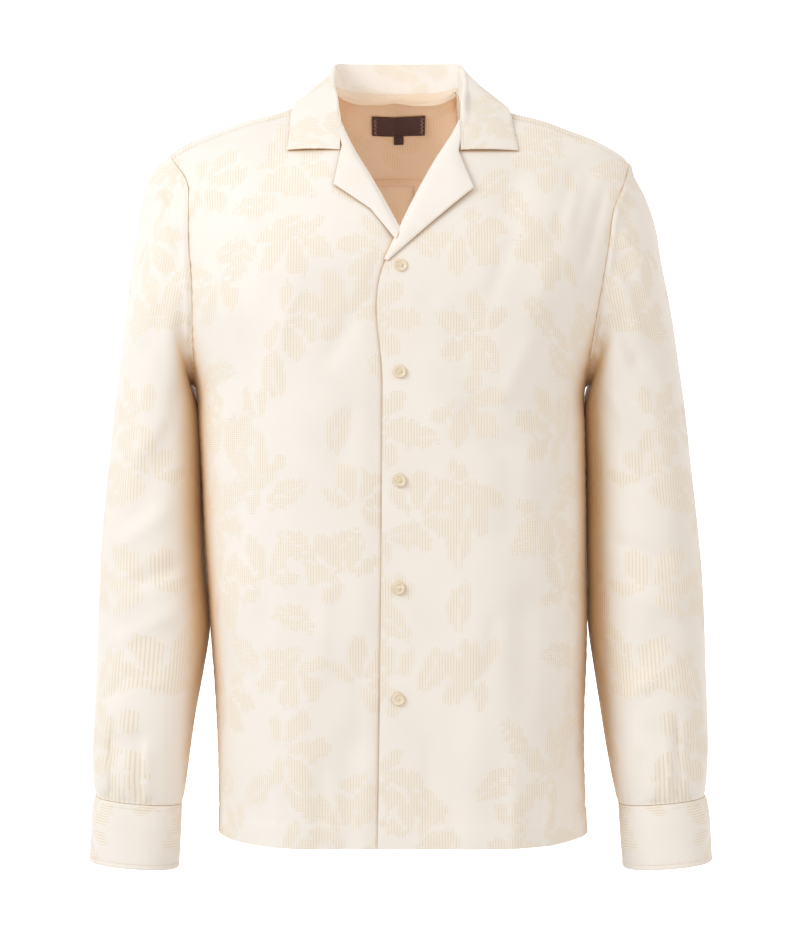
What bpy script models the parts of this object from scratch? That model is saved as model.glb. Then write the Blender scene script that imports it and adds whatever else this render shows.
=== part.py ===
"""A long-sleeve camp-collar shirt in its worn, hollow form.

X runs to the wearer's left, Y to the back and Z up. The origin lies between the
shoulders, at the height of the neck side points. Tables and sizes are in
millimetres, and MM turns them into metres when a mesh is made.
"""
import math

import bpy
import numpy as np

MM = 0.001
PIECE_GAP = 0.3          # between neighbouring pieces
YOKE_SEAM_GAP = 0.6      # the same, where the seam's two edges have different columns
CLOTH = 1.2              # wall of a single cloth layer
DOUBLE_CLOTH = 1.6       # wall of collar, lapels and cuffs

HEM_Z = -723.0
ARMPIT_Z = -280.0
SHOULDER_CENTRE = -5.0
RIDGE_RADIUS = 12.0      # roundness of the shoulder line
FRONT_SLOPE = 200.0      # run over which the front falls away to full depth
BACK_SLOPE = 110.0
SLOPE_POWER = 1.95
SHOULDER_SEAM_RUN = -16.0
YOKE_Z = -59.0           # back yoke seam at the centre back
YOKE_DROP = 39.0         # how much lower the seam is at the armholes
ARMHOLE_REACH = 210.0
LAP = 2.4                # how far the under front steps in below the top front
LAP_BLEND = 20.0
PLEAT_HALF = 18.0        # half width of the back box pleat
PLEAT_PROUD = 2.2
PLEAT_EDGE = 2.5
PLEAT_FADE_Z = -420.0

BUTTON_RADIUS = 5.9
BUTTON_THICK = 2.6
CUFF_BUTTON_RADIUS = 5.4

# Front buttons: where their centres are, and how far their backs stand off the front's form.
BUTTONS = (
    (1.0, -167.0, -0.5), (0.0, -268.0, 0.3), (0.0, -371.5, 0.3), (-1.0, -474.0, 0.3),
    (-1.4, -579.5, 0.3))

LABEL_X = (-29.3, 26.7)
LABEL_Z = (-12.0, 4.4)
TAB_X = (-6.8, 4.1)
TAB_Z = (-20.0, -12.6)
LABEL_THICK = 0.8
LABEL_CLEAR = 1.4

FRONT_COLUMNS = 11
BACK_COLUMNS = 8
BODY_ROWS = 13
ARMHOLE_ROWS = 9
YOKE_ROWS = 5
NECK_COLUMNS = 5
COLLAR_FALL_POINTS = 5

CREAM = (0.86, 0.79, 0.68, 1.0)
PEARL = (0.80, 0.74, 0.62, 1.0)
PLUM = (0.045, 0.010, 0.014, 1.0)


def table(columns, *rows):
    """A short table: each named column becomes an array, one value a row."""
    return dict(zip(columns.split(), np.array(rows, dtype=float).T))


# Body sections by height: centre line, half widths, depths and squareness.
# Above the armpit the half widths run on past the armhole, which cuts them off.
BODY = table(
    "z centre left right front back square corner",
    (-723, 3, 183, 184, 114, 118, 5.0, 1.35),
    (-632, 1, 183.5, 183, 115, 117, 4.8, 1.40),
    (-518, -1, 188.5, 188, 117, 116, 4.5, 1.45),
    (-452, -3.5, 190.5, 190, 118, 116, 4.2, 1.50),
    (-322, -7, 194, 192.5, 121, 120, 3.6, 1.70),
    (-280, -7, 197, 192, 122, 124, 3.4, 1.80),
    (-243, -7, 209, 206, 122, 127, 3.2, 1.90),
    (-180, -6, 225, 234, 122, 130, 3.0, 2.00),
    (-138, -5, 234, 250, 121, 131, 3.0, 2.00),
    (-107, -5, 241, 268, 121, 130, 3.0, 2.00),
    (-60, -5, 256, 284, 121, 129, 3.0, 2.00),
    (60, -5, 262, 290, 121, 128, 3.0, 2.00))

# Height of the shoulder line by distance out from the centre, in front and behind.
RIDGE = table(
    "out front back",
    (0, 16, 40), (30, 16, 32), (45, 16, 25), (60, 15.5, 17.5), (66, 14, 14), (90, 5.5, 5.5),
    (115, -4, -4), (149, -12.5, -12.5), (176, -22.5, -22.5), (199, -31.5, -31.5),
    (217, -41, -41), (226, -47, -47), (234, -54.5, -54.5), (250, -68, -68))

# Armhole by height: distance of its front and back edges to the wearer's left and right.
ARMHOLE = table(
    "z front_left front_right back_left back_right",
    (-280, 185, 204, 185, 204), (-243, 188, 203, 190, 204.5), (-219, 191, 202.7, 194, 205),
    (-180, 197, 203, 200, 206), (-138, 204.5, 206.6, 207, 209), (-107, 209.5, 207.5, 212, 212),
    (-75, 223, 211, 222, 219), (-54, 229, 226, 229, 228), (-47, 230, 231, 230, 231))

# Neck seam by its run behind (+) or before (-) the shoulder line.
NECK = table(
    "step out run",
    (0, 0, 31.7), (1, 22, 29.5), (2, 40, 23), (3, 53, 14), (4, 61, 3.5), (5, 65.5, -16))

# Inner edge of each front, from the hem up: front edge, break, roll line, neck seam.
LEFT_EDGE = table(
    "z x",
    (-723, -21.4), (-640, -20), (-480, -18), (-280, -16.5), (-164, -14.5), (-150, -8), (-135, -2),
    (-108, 12), (-83, 25), (-54, 41), (-29, 55.5), (-2, 62.5))
RIGHT_EDGE = table(
    "z x",
    (-723, 15), (-480, 16), (-280, 16), (-175, 15), (-152, 8), (-135, -2), (-111, -14),
    (-87, -26), (-54, -46), (-28, -57), (-2, -67.5))

# Lapels: roll line and outer edge, from the top of the gorge seam (0) by the notch (0.5)
# and the tip (1) to the break (2).
LEFT_LAPEL = table(
    "step roll_x roll_z edge_x edge_z",
    (0, 54.6, -30.5, 56.6, -31.5), (0.25, 51, -37, 56.4, -43), (0.5, 46.5, -45, 56.5, -54.5),
    (0.75, 41.5, -53, 63, -73), (1, 35.5, -63, 70.2, -92), (1.5, 13, -106, 29, -127),
    (2, -13.2, -162, -11.5, -162.5))
RIGHT_LAPEL = table(
    "step roll_x roll_z edge_x edge_z",
    (0, -54.8, -30.5, -56.4, -31.5), (0.25, -52, -37, -56.2, -40), (0.5, -49, -45, -56.4, -47.5),
    (0.75, -45, -53, -60, -68), (1, -40, -62, -63.5, -88.5), (1.5, -24, -90, -28, -113),
    (2, -6.5, -125, -8.8, -134))

# Collar from the centre back (0) round the neck side (6) to the notch (11): its roll line,
# and where its outer edge lies on the wearer's left and right. An edge behind the shoulder
# line lies over (x, y), and in front of it over (x, z).
COLLAR = table(
    "step roll_x roll_y roll_z edge_left edge_right edge_y edge_z",
    (0, 0, 66, 55.5, 0, 0, 99, 0), (1, 26, 65.5, 55.5, 30, 30, 98, 0), (2, 48, 61.5, 55, 59, 59, 91, 0),
    (3, 59.5, 53, 54, 82, 80, 75, 0), (4, 64, 41, 50, 97, 94, 52, 0), (5, 65.5, 26, 43, 105, 101.5, 28, 0),
    (6, 66, 8, 32, 108.5, 104.5, 8, 0), (7, 65.5, -12, 20.5, 110, 106, -12, 0),
    (8, 63, -32, 4, 110, 107, 0, -15), (9, 57.8, 0, -29, 111.5, 107.5, 0, -29),
    (10, 58, 0, -42, 113.5, 108.5, 0, -41), (11, 58.2, 0, -53, 115.5, 109.5, 0, -51))
NECK_CENTRE = -4.0
FRONT_STEP = 7           # last collar step that lies on the shoulder's top
GORGE_STEP = 9           # from here on the collar has no stand
ROLL_RADIUS = 1.1        # inside the fold at the roll line
COLLAR_CLEAR = 1.3       # between the collar's fall and the body under it

# Sleeve rings from the armhole (0) to the cuff seam (16). Out is the side away from the
# body, in the side along it; keep is how much of the armhole's own form is left.
SLEEVE = table(
    "step out_z out_left out_right in_z in_left in_right middle front back keep",
    (0, -50, 229, 231, -280, 185, 204, 0, 66, 70, 1.0),
    (1, -64, 235, 245, -276.5, 186.6, 205.6, 1, 67, 71, 0.92),
    (2, -86, 246.5, 255, -275.5, 189.3, 208.3, 2, 68, 72, 0.80),
    (3, -115, 256, 262, -277.5, 191.8, 210.8, 4, 70, 73, 0.62),
    (4, -150, 262, 267, -284, 192.6, 211.6, 7, 72, 74, 0.42),
    (5, -192, 270, 273.3, -295, 191.6, 210.8, 11, 74, 75, 0.25),
    (6, -240, 277.6, 279.8, -312, 189.6, 207.5, 15, 75, 76, 0.12),
    (7, -292, 285, 285.5, -338, 187.8, 203.2, 18, 75, 76, 0.04),
    (8, -345, 291.3, 291.3, -375, 187.2, 199.6, 19, 74, 75, 0.0),
    (9, -400, 297, 296.3, -420, 187.5, 197.2, 17, 73, 74, 0.0),
    (10, -455, 302, 299.8, -468, 188.2, 194.8, 13, 71, 72, 0.0),
    (11, -508, 304, 302, -515, 189.8, 191.6, 8, 68, 69, 0.0),
    (12, -556, 305.2, 303.2, -561, 195.5, 197.5, 3, 64, 65, 0.0),
    (13, -600, 306, 304.8, -606, 201.6, 204.6, -3, 59, 60, 0.0),
    (14, -636, 306, 305.8, -643, 207, 209.8, -8, 54, 55, 0.0),
    (15, -665, 304.5, 304.8, -673, 212.3, 213.8, -12, 48, 49, 0.0),
    (16, -684, 301.8, 301.2, -691.5, 217, 216.9, -14, 41.5, 42.5, 0.0))
SLEEVE_SQUARE = 2.25

# Cuff rings from the seam (0) to the open edge (1).
CUFF = table(
    "step out_z out_left out_right in_z in_left in_right middle front back",
    (0, -684.4, 301.8, 301.2, -691.9, 217, 216.9, -14, 41.5, 42.5),
    (0.08, -689, 303, 302.2, -697, 217.2, 217, -14.4, 41.5, 42.5),
    (1, -748, 308, 306.4, -755, 221.3, 219.5, -17, 40.5, 41.5))
CUFF_START = 1.20 * math.pi      # where the under end begins, on the outer back side
CUFF_SWEEP = 2.17 * math.pi
CUFF_LIFT = 3.0                  # how far the over end stands out from the under end
CUFF_POINTS = 30

# Main folds: a soft ridge (+) or trough (-) along a line seen from the front or behind.
# Face 0 is the fronts, 1 the back, 2 the sleeves' front, 3 the sleeves' back.
FOLDS = table(
    "face x1 z1 x2 z2 width depth",
    (0, 183, -62, 147, -150, 13, -3.5), (0, 117, -72, 98, -128, 14, -2.0),
    (0, 170, -95, 128, -215, 15, 2.2), (0, 104, -330, 106, -430, 14, -2.2),
    (0, 118, -480, 120, -600, 14, -3.0), (0, 140, -420, 166, -580, 15, 2.6),
    (0, 165, -610, 168, -740, 14, -3.5), (0, 72, -600, 66, -740, 16, 2.0),
    (0, -34, -515, -36, -645, 10, -1.6), (0, -48, -610, -52, -740, 15, -3.4),
    (0, -95, -560, -100, -740, 18, 2.6), (0, -150, -600, -146, -740, 14, -3.0),
    (0, -178, -80, -150, -190, 14, -2.6), (0, -120, -95, -108, -180, 15, 1.6),
    (0, -150, -300, -162, -440, 15, -2.4), (0, 60, -200, 78, -330, 17, -1.6),
    (1, 62, -80, 80, -380, 17, -2.8), (1, -70, -85, -88, -400, 17, -2.8),
    (1, 150, -110, 120, -240, 15, -2.6), (1, -160, -110, -128, -250, 15, -2.6),
    (1, 40, -430, 44, -740, 18, -3.2), (1, -46, -450, -50, -740, 18, -3.2),
    (1, 110, -520, 116, -740, 16, 3.0), (1, -118, -500, -122, -740, 16, 3.0),
    (2, 215, -150, 250, -240, 12, -2.6), (2, 220, -320, 262, -400, 14, -2.6),
    (2, 232, -560, 262, -500, 13, -2.4), (2, 240, -610, 290, -640, 12, -2.2),
    (2, -222, -160, -252, -250, 12, -2.6), (2, -226, -330, -262, -420, 14, -2.6),
    (2, -235, -560, -270, -510, 13, -2.4), (2, -245, -620, -290, -640, 12, -2.2),
    (3, 222, -180, 262, -270, 13, -2.6), (3, 215, -370, 275, -420, 14, -3.0),
    (3, 215, -430, 275, -400, 14, -2.6), (3, 235, -600, 280, -560, 13, -2.4),
    (3, -228, -180, -265, -280, 13, -2.6), (3, -222, -380, -278, -430, 14, -3.0),
    (3, -222, -440, -278, -410, 14, -2.6), (3, -240, -610, -285, -570, 13, -2.4))


def smooth(rows, column, at, key):
    """Read a table's column anywhere, on a smooth curve through its rows."""
    knots = rows[key]
    values = rows[column]
    slopes = np.gradient(values, knots)
    at = np.clip(at, knots[0], knots[-1])
    low = np.clip(np.searchsorted(knots, at) - 1, 0, len(knots) - 2)
    width = knots[low + 1] - knots[low]
    part = (at - knots[low]) / width
    rest = 1 - part
    ends = (1 + 2 * part) * rest ** 2 * values[low] + part ** 2 * (3 - 2 * part) * values[low + 1]
    return ends + part * rest * width * (rest * slopes[low] - part * slopes[low + 1])


def straight(rows, column, at, key):
    """Read a table's column anywhere, on straight lines between its rows."""
    return np.interp(at, rows[key], rows[column])


def ease(value):
    """Smooth step from 0 to 1."""
    value = np.clip(value, 0, 1)
    return value * value * (3 - 2 * value)


def unit(vectors):
    """Vectors of length one."""
    return vectors / np.maximum(np.linalg.norm(vectors, axis=-1, keepdims=True), 1e-9)


def points(x, y, z):
    """Stack three coordinate arrays into points."""
    return np.stack(np.broadcast_arrays(x, y, z), axis=-1).astype(float)


# The body's surface

def ridge_height(x, behind):
    """Height of the shoulder line over x."""
    out = np.abs(x - SHOULDER_CENTRE)
    return np.where(behind, smooth(RIDGE, "back", out, "out"), smooth(RIDGE, "front", out, "out"))


def side_reach(x, z):
    """Distance from the centre line as a share of the half width at this height."""
    centre = smooth(BODY, "centre", z, "z")
    half = np.where(x > centre, smooth(BODY, "right", z, "z"), smooth(BODY, "left", z, "z"))
    return np.clip(np.abs(x - centre) / half, 0, 1)


def full_depth(x, z, behind):
    """Depth of the body's section, before the shoulders slope in."""
    depth = np.where(behind, smooth(BODY, "back", z, "z"), smooth(BODY, "front", z, "z"))
    square = smooth(BODY, "square", z, "z")
    corner = smooth(BODY, "corner", z, "z")
    return depth * (1 - side_reach(x, z) ** square) ** (1 / corner)


def fill(run, behind):
    """Share of the full depth reached at a run from the shoulder line."""
    slope = np.where(behind, BACK_SLOPE, FRONT_SLOPE)
    return 1 - (1 - np.clip(np.abs(run) / slope, 0, 1)) ** SLOPE_POWER


def fold_depth(face, x, z):
    """Height of the folds of one face at points seen from the front."""
    total = np.zeros(np.broadcast(x, z).shape)
    for row in range(len(FOLDS["face"])):
        fold = {name: column[row] for name, column in FOLDS.items()}
        if fold["face"] != face:
            continue
        run_x = fold["x2"] - fold["x1"]
        run_z = fold["z2"] - fold["z1"]
        length = math.hypot(run_x, run_z)
        part = ((x - fold["x1"]) * run_x + (z - fold["z1"]) * run_z) / length ** 2
        away = ((x - fold["x1"]) * run_z - (z - fold["z1"]) * run_x) / length
        ends = ease(part * 3 + 0.5) * ease((1 - part) * 3 + 0.5)
        total = total + fold["depth"] * np.exp(-(away / fold["width"]) ** 2) * ends
    return total


def seam_fade(x, z):
    """Folds fade to nothing at the side seams, armholes and shoulder seams."""
    at_side = ease((1 - side_reach(x, z)) * 6)
    armhole = np.where(x > 0, smooth(ARMHOLE, "front_left", z, "z"), smooth(ARMHOLE, "front_right", z, "z"))
    at_armhole = np.where(z > ARMPIT_Z, ease((armhole - np.abs(x)) / 22), 1.0)
    at_shoulder = ease((ridge_height(x, False) - z - 8) / 25)
    return at_side * at_armhole * at_shoulder


def pleat_height(x, z):
    """The back box pleat: a flat band, proud of the back, that fades downwards."""
    away = np.abs(x - SHOULDER_CENTRE * ease((z + 600) / 500))
    band = ease((PLEAT_HALF + PLEAT_EDGE - away) / PLEAT_EDGE)
    return PLEAT_PROUD * band * ease((z - PLEAT_FADE_Z) / 250)


def body_y(x, z, behind, folded=True):
    """Y of the body's outer surface at a point seen from the front."""
    drop = np.maximum(ridge_height(x, behind) - z, 0)
    run = np.sqrt(drop ** 2 + 2 * RIDGE_RADIUS * drop)
    depth = full_depth(x, z, behind) * fill(run, behind)
    if folded:
        under_yoke = ease((yoke_seam_z(x) - z) / 40)
        faces = np.where(behind, fold_depth(1, x, z) * under_yoke + pleat_height(x, z), fold_depth(0, x, z))
        depth = depth + faces * seam_fade(x, z)
    return np.where(behind, depth, -depth)


def body_normal(x, z, behind):
    """Outward direction of the body's surface."""
    step = 0.6
    slope_x = (body_y(x + step, z, behind, False) - body_y(x - step, z, behind, False)) / (2 * step)
    slope_z = (body_y(x, z + step, behind, False) - body_y(x, z - step, behind, False)) / (2 * step)
    sign = np.where(behind, 1.0, -1.0)
    normal = unit(points(-sign * slope_x, sign, -sign * slope_z))
    at_seam = (side_reach(x, z) > 0.996)[..., None]
    side = points(np.sign(x), 0 * x, 0 * x)
    return np.where(at_seam, side, normal)


def over_shoulder(x, run):
    """Points over the shoulder line: run is negative in front of it and positive behind."""
    behind = run > 0
    drop = np.sqrt(run ** 2 + RIDGE_RADIUS ** 2) - RIDGE_RADIUS
    z = ridge_height(x, behind) - drop
    y = np.sign(run) * full_depth(x, z, behind) * fill(run, behind)
    return points(x, y, z)


def over_shoulder_normal(x, run):
    """Outward direction over the shoulder line."""
    step = 0.6
    across = over_shoulder(x + step, run) - over_shoulder(x - step, run)
    along = over_shoulder(x, run + step) - over_shoulder(x, run - step)
    return unit(np.cross(across, along))


def run_behind(x, z):
    """Run from the shoulder line at which the back's surface has height z."""
    drop = np.maximum(ridge_height(x, True) - z, 0)
    return np.sqrt(drop ** 2 + 2 * RIDGE_RADIUS * drop)


def height_over(x, y):
    """Height of the body's surface over a place (x, y) on the shoulders."""
    behind = y > 0
    z = np.zeros(np.broadcast(x, y).shape)
    for _ in range(12):
        share = np.clip(np.abs(y) / full_depth(x, z, behind), 0, 0.98)
        slope = np.where(behind, BACK_SLOPE, FRONT_SLOPE)
        run = slope * (1 - (1 - share) ** (1 / SLOPE_POWER))
        z = ridge_height(x, behind) - np.sqrt(run ** 2 + RIDGE_RADIUS ** 2) + RIDGE_RADIUS
    return z


def yoke_seam_z(x):
    """Height of the seam between yoke and back."""
    return YOKE_Z - YOKE_DROP * ((x - SHOULDER_CENTRE) / ARMHOLE_REACH) ** 2


# The armhole, shared by the body and the sleeve

def armhole_heights(top):
    """Heights along an armhole edge, close together at the armpit's round."""
    part = np.linspace(0, 1, ARMHOLE_ROWS + 1)
    return ARMPIT_Z + (top - ARMPIT_Z) * (1 - np.cos(part * math.pi / 2))


def armhole_x(side, z, behind):
    """X of the armhole edge: side is 1 for the wearer's left and -1 for the right."""
    name = ("back_" if behind else "front_") + ("left" if side > 0 else "right")
    return side * smooth(ARMHOLE, name, z, "z")


def armhole_over(side, run):
    """X of the armhole where it passes over the shoulder."""
    x = np.full(np.shape(run), side * 228.0)
    for _ in range(8):
        z = over_shoulder(x, run)[..., 2]
        blend = ease((run + 16) / 60)
        x = armhole_x(side, z, False) * (1 - blend) + armhole_x(side, z, True) * blend
    return x


def shoulder_runs(side):
    """Runs of the yoke's rows at the armhole, from the front seam to the back seam."""
    last = 55.0
    for _ in range(12):
        x = armhole_over(side, np.array([last]))
        last = float(run_behind(x, yoke_seam_z(x))[0])
    part = np.linspace(0, 1, YOKE_ROWS + 1)
    return SHOULDER_SEAM_RUN + (last - SHOULDER_SEAM_RUN) * part


def armhole_loop(side):
    """The armhole from the armpit up the front, over the shoulder and down the back."""
    runs = shoulder_runs(side)
    top_x = armhole_over(side, runs)
    top = over_shoulder(top_x, runs)
    top_normal = over_shoulder_normal(top_x, runs)
    front_z = armhole_heights(top[0, 2])[:-1]
    front_x = armhole_x(side, front_z, False)
    back_z = armhole_heights(top[-1, 2])[1:-1][::-1]
    back_x = armhole_x(side, back_z, True)
    front = points(front_x, body_y(front_x, front_z, False), front_z)
    back = points(back_x, body_y(back_x, back_z, True), back_z)
    front[0, 1] = 0
    loop = np.vstack([front, top, back])
    normals = np.vstack([body_normal(front_x, front_z, False), top_normal, body_normal(back_x, back_z, True)])
    return loop, normals


# Turning point grids into closed walls

def make_object(name, verts, faces, material):
    """A mesh object from points in millimetres, with its faces turned outwards."""
    verts = np.asarray(verts, dtype=float)
    volume = 0.0
    for face in faces:
        for k in range(1, len(face) - 1):
            a, b, c = verts[face[0]], verts[face[k]], verts[face[k + 1]]
            volume += float(np.dot(a, np.cross(b, c)))
    if volume < 0:
        faces = [tuple(reversed(face)) for face in faces]
    mesh = bpy.data.meshes.new(name)
    mesh.from_pydata((verts * MM).tolist(), [], faces)
    mesh.materials.append(material)
    mesh.shade_smooth()
    mesh.set_sharp_from_angle(angle=math.radians(40))
    piece = bpy.data.objects.new(name, mesh)
    bpy.context.collection.objects.link(piece)
    return piece


def layered(name, outer, inner, material, closed=False):
    """A closed wall between two grids of rows and columns; a closed grid is a tube."""
    rows, cols = outer.shape[:2]
    verts = np.concatenate([outer.reshape(-1, 3), inner.reshape(-1, 3)])
    shift = rows * cols

    def index(row, col):
        return row * cols + col % cols

    steps = cols if closed else cols - 1
    faces = []
    for row in range(rows - 1):
        for col in range(steps):
            a, b, c, d = index(row, col), index(row, col + 1), index(row + 1, col + 1), index(row + 1, col)
            if np.linalg.norm(verts[a] - verts[c]) < np.linalg.norm(verts[b] - verts[d]):
                halves = ((a, b, c), (a, c, d))
            else:
                halves = ((a, b, d), (b, c, d))
            for half in halves:
                faces.append(half)
                faces.append(tuple(corner + shift for corner in reversed(half)))
    for col in range(steps):
        first, second = index(0, col), index(0, col + 1)
        faces.append((second, first, first + shift, second + shift))
        first, second = index(rows - 1, col), index(rows - 1, col + 1)
        faces.append((first, second, second + shift, first + shift))
    if not closed:
        for row in range(rows - 1):
            first, second = index(row, 0), index(row + 1, 0)
            faces.append((first, second, second + shift, first + shift))
            first, second = index(row, cols - 1), index(row + 1, cols - 1)
            faces.append((second, first, first + shift, second + shift))
    return make_object(name, verts, faces, material)


def pulled_in(grid, edges, gap=PIECE_GAP):
    """A grid whose named edges stop short by half the gap between pieces."""
    grid = grid.copy()
    views = {
        "first_row": (grid[0], grid[1]), "last_row": (grid[-1], grid[-2]),
        "first_col": (grid[:, 0], grid[:, 1]), "last_col": (grid[:, -1], grid[:, -2])}
    for edge in edges:
        border, inside = views[edge]
        along = unit(np.gradient(border, axis=0))
        inward = inside - border
        inward = inward - along * np.sum(inward * along, axis=1, keepdims=True)
        border += unit(inward) * gap / 2
    return grid


def grid_normals(grid, closed=False):
    """Directions across a grid: columns crossed with rows."""
    down = np.gradient(grid, axis=0)
    if closed:
        across = np.roll(grid, -1, axis=1) - np.roll(grid, 1, axis=1)
    else:
        across = np.gradient(grid, axis=1)
    return unit(np.cross(across, down))


# The body's pieces

def body_rows(edge_top):
    """Heights of a panel's rows at its side and at its inner edge."""
    lower = np.concatenate([[HEM_Z, HEM_Z + 25], np.linspace(HEM_Z + 58, ARMPIT_Z, BODY_ROWS - 1)])
    part = np.linspace(0, 1, ARMHOLE_ROWS + 1)[1:]
    inner = ARMPIT_Z + (edge_top - ARMPIT_Z) * (0.35 * (1 - np.cos(part * math.pi / 2)) + 0.65 * part)
    return lower, inner


def front_grid(side):
    """Front view places (x, z) of one front's points, hem to shoulder, edge to side."""
    edge = LEFT_EDGE if side > 0 else RIGHT_EDGE
    seam_end = over_shoulder(armhole_over(side, np.array([SHOULDER_SEAM_RUN])), SHOULDER_SEAM_RUN)[0]
    neck_x = NECK_CENTRE + side * NECK["out"][-1]
    neck_z = float(over_shoulder(np.array([neck_x]), np.array([SHOULDER_SEAM_RUN]))[0, 2])
    lower, upper = body_rows(neck_z)
    side_z = armhole_heights(seam_end[2])[1:]
    centre = smooth(BODY, "centre", lower, "z")
    half = smooth(BODY, "right" if side > 0 else "left", lower, "z")
    side_x = np.concatenate([centre + side * half, armhole_x(side, side_z, False)])
    inner_z = np.concatenate([lower, upper])
    outer_z = np.concatenate([lower, side_z])
    inner_x = smooth(edge, "x", inner_z, "z")
    part = np.linspace(0, 1, FRONT_COLUMNS + 1)[None, :]
    rise = ease((inner_z - ARMPIT_Z) / 220)[:, None]
    spread = np.sin(part * math.pi / 2) * (1 - rise) + part * rise
    x = inner_x[:, None] + (side_x - inner_x)[:, None] * spread
    z = inner_z[:, None] + (outer_z - inner_z)[:, None] * part
    seam_z = over_shoulder(x[-1], np.full(x.shape[1], SHOULDER_SEAM_RUN))[:, 2]
    bow = seam_z - z[-1]
    lift = (np.clip((inner_z - ARMPIT_Z) / (neck_z - ARMPIT_Z), 0, 1) ** 3)[:, None]
    return x, z + bow * lift


def under_lap(x, z):
    """How far the right front steps in where the left front covers it."""
    top_edge = smooth(LEFT_EDGE, "x", z, "z")
    return LAP * ease((x - top_edge + LAP_BLEND) / LAP_BLEND)


def front_panel(side, material):
    """One front, from its hem to the shoulder seam and from its edge to the side."""
    x, z = front_grid(side)
    y = body_y(x, z, False)
    y[: BODY_ROWS + 1, -1] = 0
    if side < 0:
        y = y + under_lap(x, z)
    normal = body_normal(x, z, False)
    grid = pulled_in(points(x, y, z), ("last_row", "last_col"))
    name = "front_left" if side > 0 else "front_right"
    return layered(name, grid, grid - normal * CLOTH, material)


def back_panel(material):
    """The back, from its hem to the yoke seam, with a box pleat in the middle."""
    grids = []
    for side in (-1, 1):
        runs = shoulder_runs(side)
        end = over_shoulder(armhole_over(side, runs[-1:]), runs[-1:])[0]
        lower, upper = body_rows(YOKE_Z)
        side_z = armhole_heights(end[2])[1:]
        centre = smooth(BODY, "centre", lower, "z")
        half = smooth(BODY, "right" if side > 0 else "left", lower, "z")
        side_x = np.concatenate([centre + side * half, armhole_x(side, side_z, True)])
        inner_z = np.concatenate([lower, upper])
        outer_z = np.concatenate([lower, side_z])
        middle = SHOULDER_CENTRE * ease((inner_z + 600) / 500)
        part = np.linspace(0, 1, BACK_COLUMNS + 1)
        rise = ease((inner_z - ARMPIT_Z) / 220)[:, None]
        spread = np.sin(part * math.pi / 2) * (1 - rise) + part * rise
        pleat_end = middle + side * (PLEAT_HALF + PLEAT_EDGE)
        x = pleat_end[:, None] + (side_x - pleat_end)[:, None] * spread
        x = np.concatenate([(middle + side * PLEAT_HALF)[:, None], x], axis=1)
        if side > 0:
            x = np.concatenate([middle[:, None], x], axis=1)
        reach = (x - middle[:, None]) / (side_x - middle)[:, None]
        z = inner_z[:, None] + (outer_z - inner_z)[:, None] * reach
        lift = (np.clip((inner_z - ARMPIT_Z) / (YOKE_Z - ARMPIT_Z), 0, 1) ** 3)[:, None]
        z = z + (yoke_seam_z(x[-1]) - z[-1]) * lift
        y = body_y(x, z, True)
        y[: BODY_ROWS + 1, -1] = 0
        grid = points(x, y, z)
        normal = body_normal(x, z, True)
        if side < 0:
            grid = grid[:, ::-1]
            normal = normal[:, ::-1]
        grids.append((grid, normal))
    grid = np.concatenate([grids[0][0], grids[1][0]], axis=1)
    normal = np.concatenate([grids[0][1], grids[1][1]], axis=1)
    grid = pulled_in(grid, ("first_col", "last_col"))
    grid = pulled_in(grid, ("last_row",), YOKE_SEAM_GAP)
    return layered("back", grid, grid - normal * CLOTH, material)


def yoke_grid():
    """Places (x, run) of the yoke, from one armhole round the neck to the other."""
    upper_x, upper_run, lower_x = [], [], []
    for side in (-1, 1):
        runs = shoulder_runs(side)
        top = front_grid(side)[0][-1][::-1]
        ends = armhole_over(side, runs[-1:])[0]
        neck_x = top[-1]
        low = ends + (neck_x * 0.92 - ends) * np.linspace(0, 1, len(top))
        steps = np.linspace(NECK["step"][-1], 0, NECK_COLUMNS + 1)[1:]
        neck_out = smooth(NECK, "out", steps, "step")
        top = np.concatenate([top, NECK_CENTRE + side * neck_out])
        run = np.concatenate([np.full(len(low), SHOULDER_SEAM_RUN), smooth(NECK, "run", steps, "step")])
        under_neck = np.linspace(0, 1, NECK_COLUMNS + 1)[1:]
        low = np.concatenate([low, low[-1] + (NECK_CENTRE - low[-1]) * under_neck])
        if side > 0:
            top, run, low = top[:-1][::-1], run[:-1][::-1], low[:-1][::-1]
        upper_x.append(top)
        upper_run.append(run)
        lower_x.append(low)
    return [np.concatenate(parts) for parts in (upper_x, upper_run, lower_x)]


def yoke_places(rows):
    """Grid of (x, run) over the yoke, with the armhole's own points at both ends."""
    top_x, top_run, low_x = yoke_grid()
    low_run = run_behind(low_x, yoke_seam_z(low_x))
    part = np.linspace(0, 1, rows + 1)[:, None]
    x = top_x + (low_x - top_x) * part
    run = top_run + (low_run - top_run) * part
    for col, side in ((0, -1), (-1, 1)):
        last = shoulder_runs(side)[-1]
        edge = SHOULDER_SEAM_RUN + (last - SHOULDER_SEAM_RUN) * part[:, 0]
        run[:, col] = edge
        x[:, col] = armhole_over(side, edge)
    return x, run


def yoke_panel(material):
    """The yoke, from the front shoulder seams over the shoulders to the back."""
    x, run = yoke_places(YOKE_ROWS)
    grid = pulled_in(over_shoulder(x, run), ("first_row", "first_col", "last_col"))
    grid = pulled_in(grid, ("last_row",), YOKE_SEAM_GAP)
    return layered("yoke", grid, grid - over_shoulder_normal(x, run) * CLOTH, material)


# Sleeves and cuffs

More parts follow.
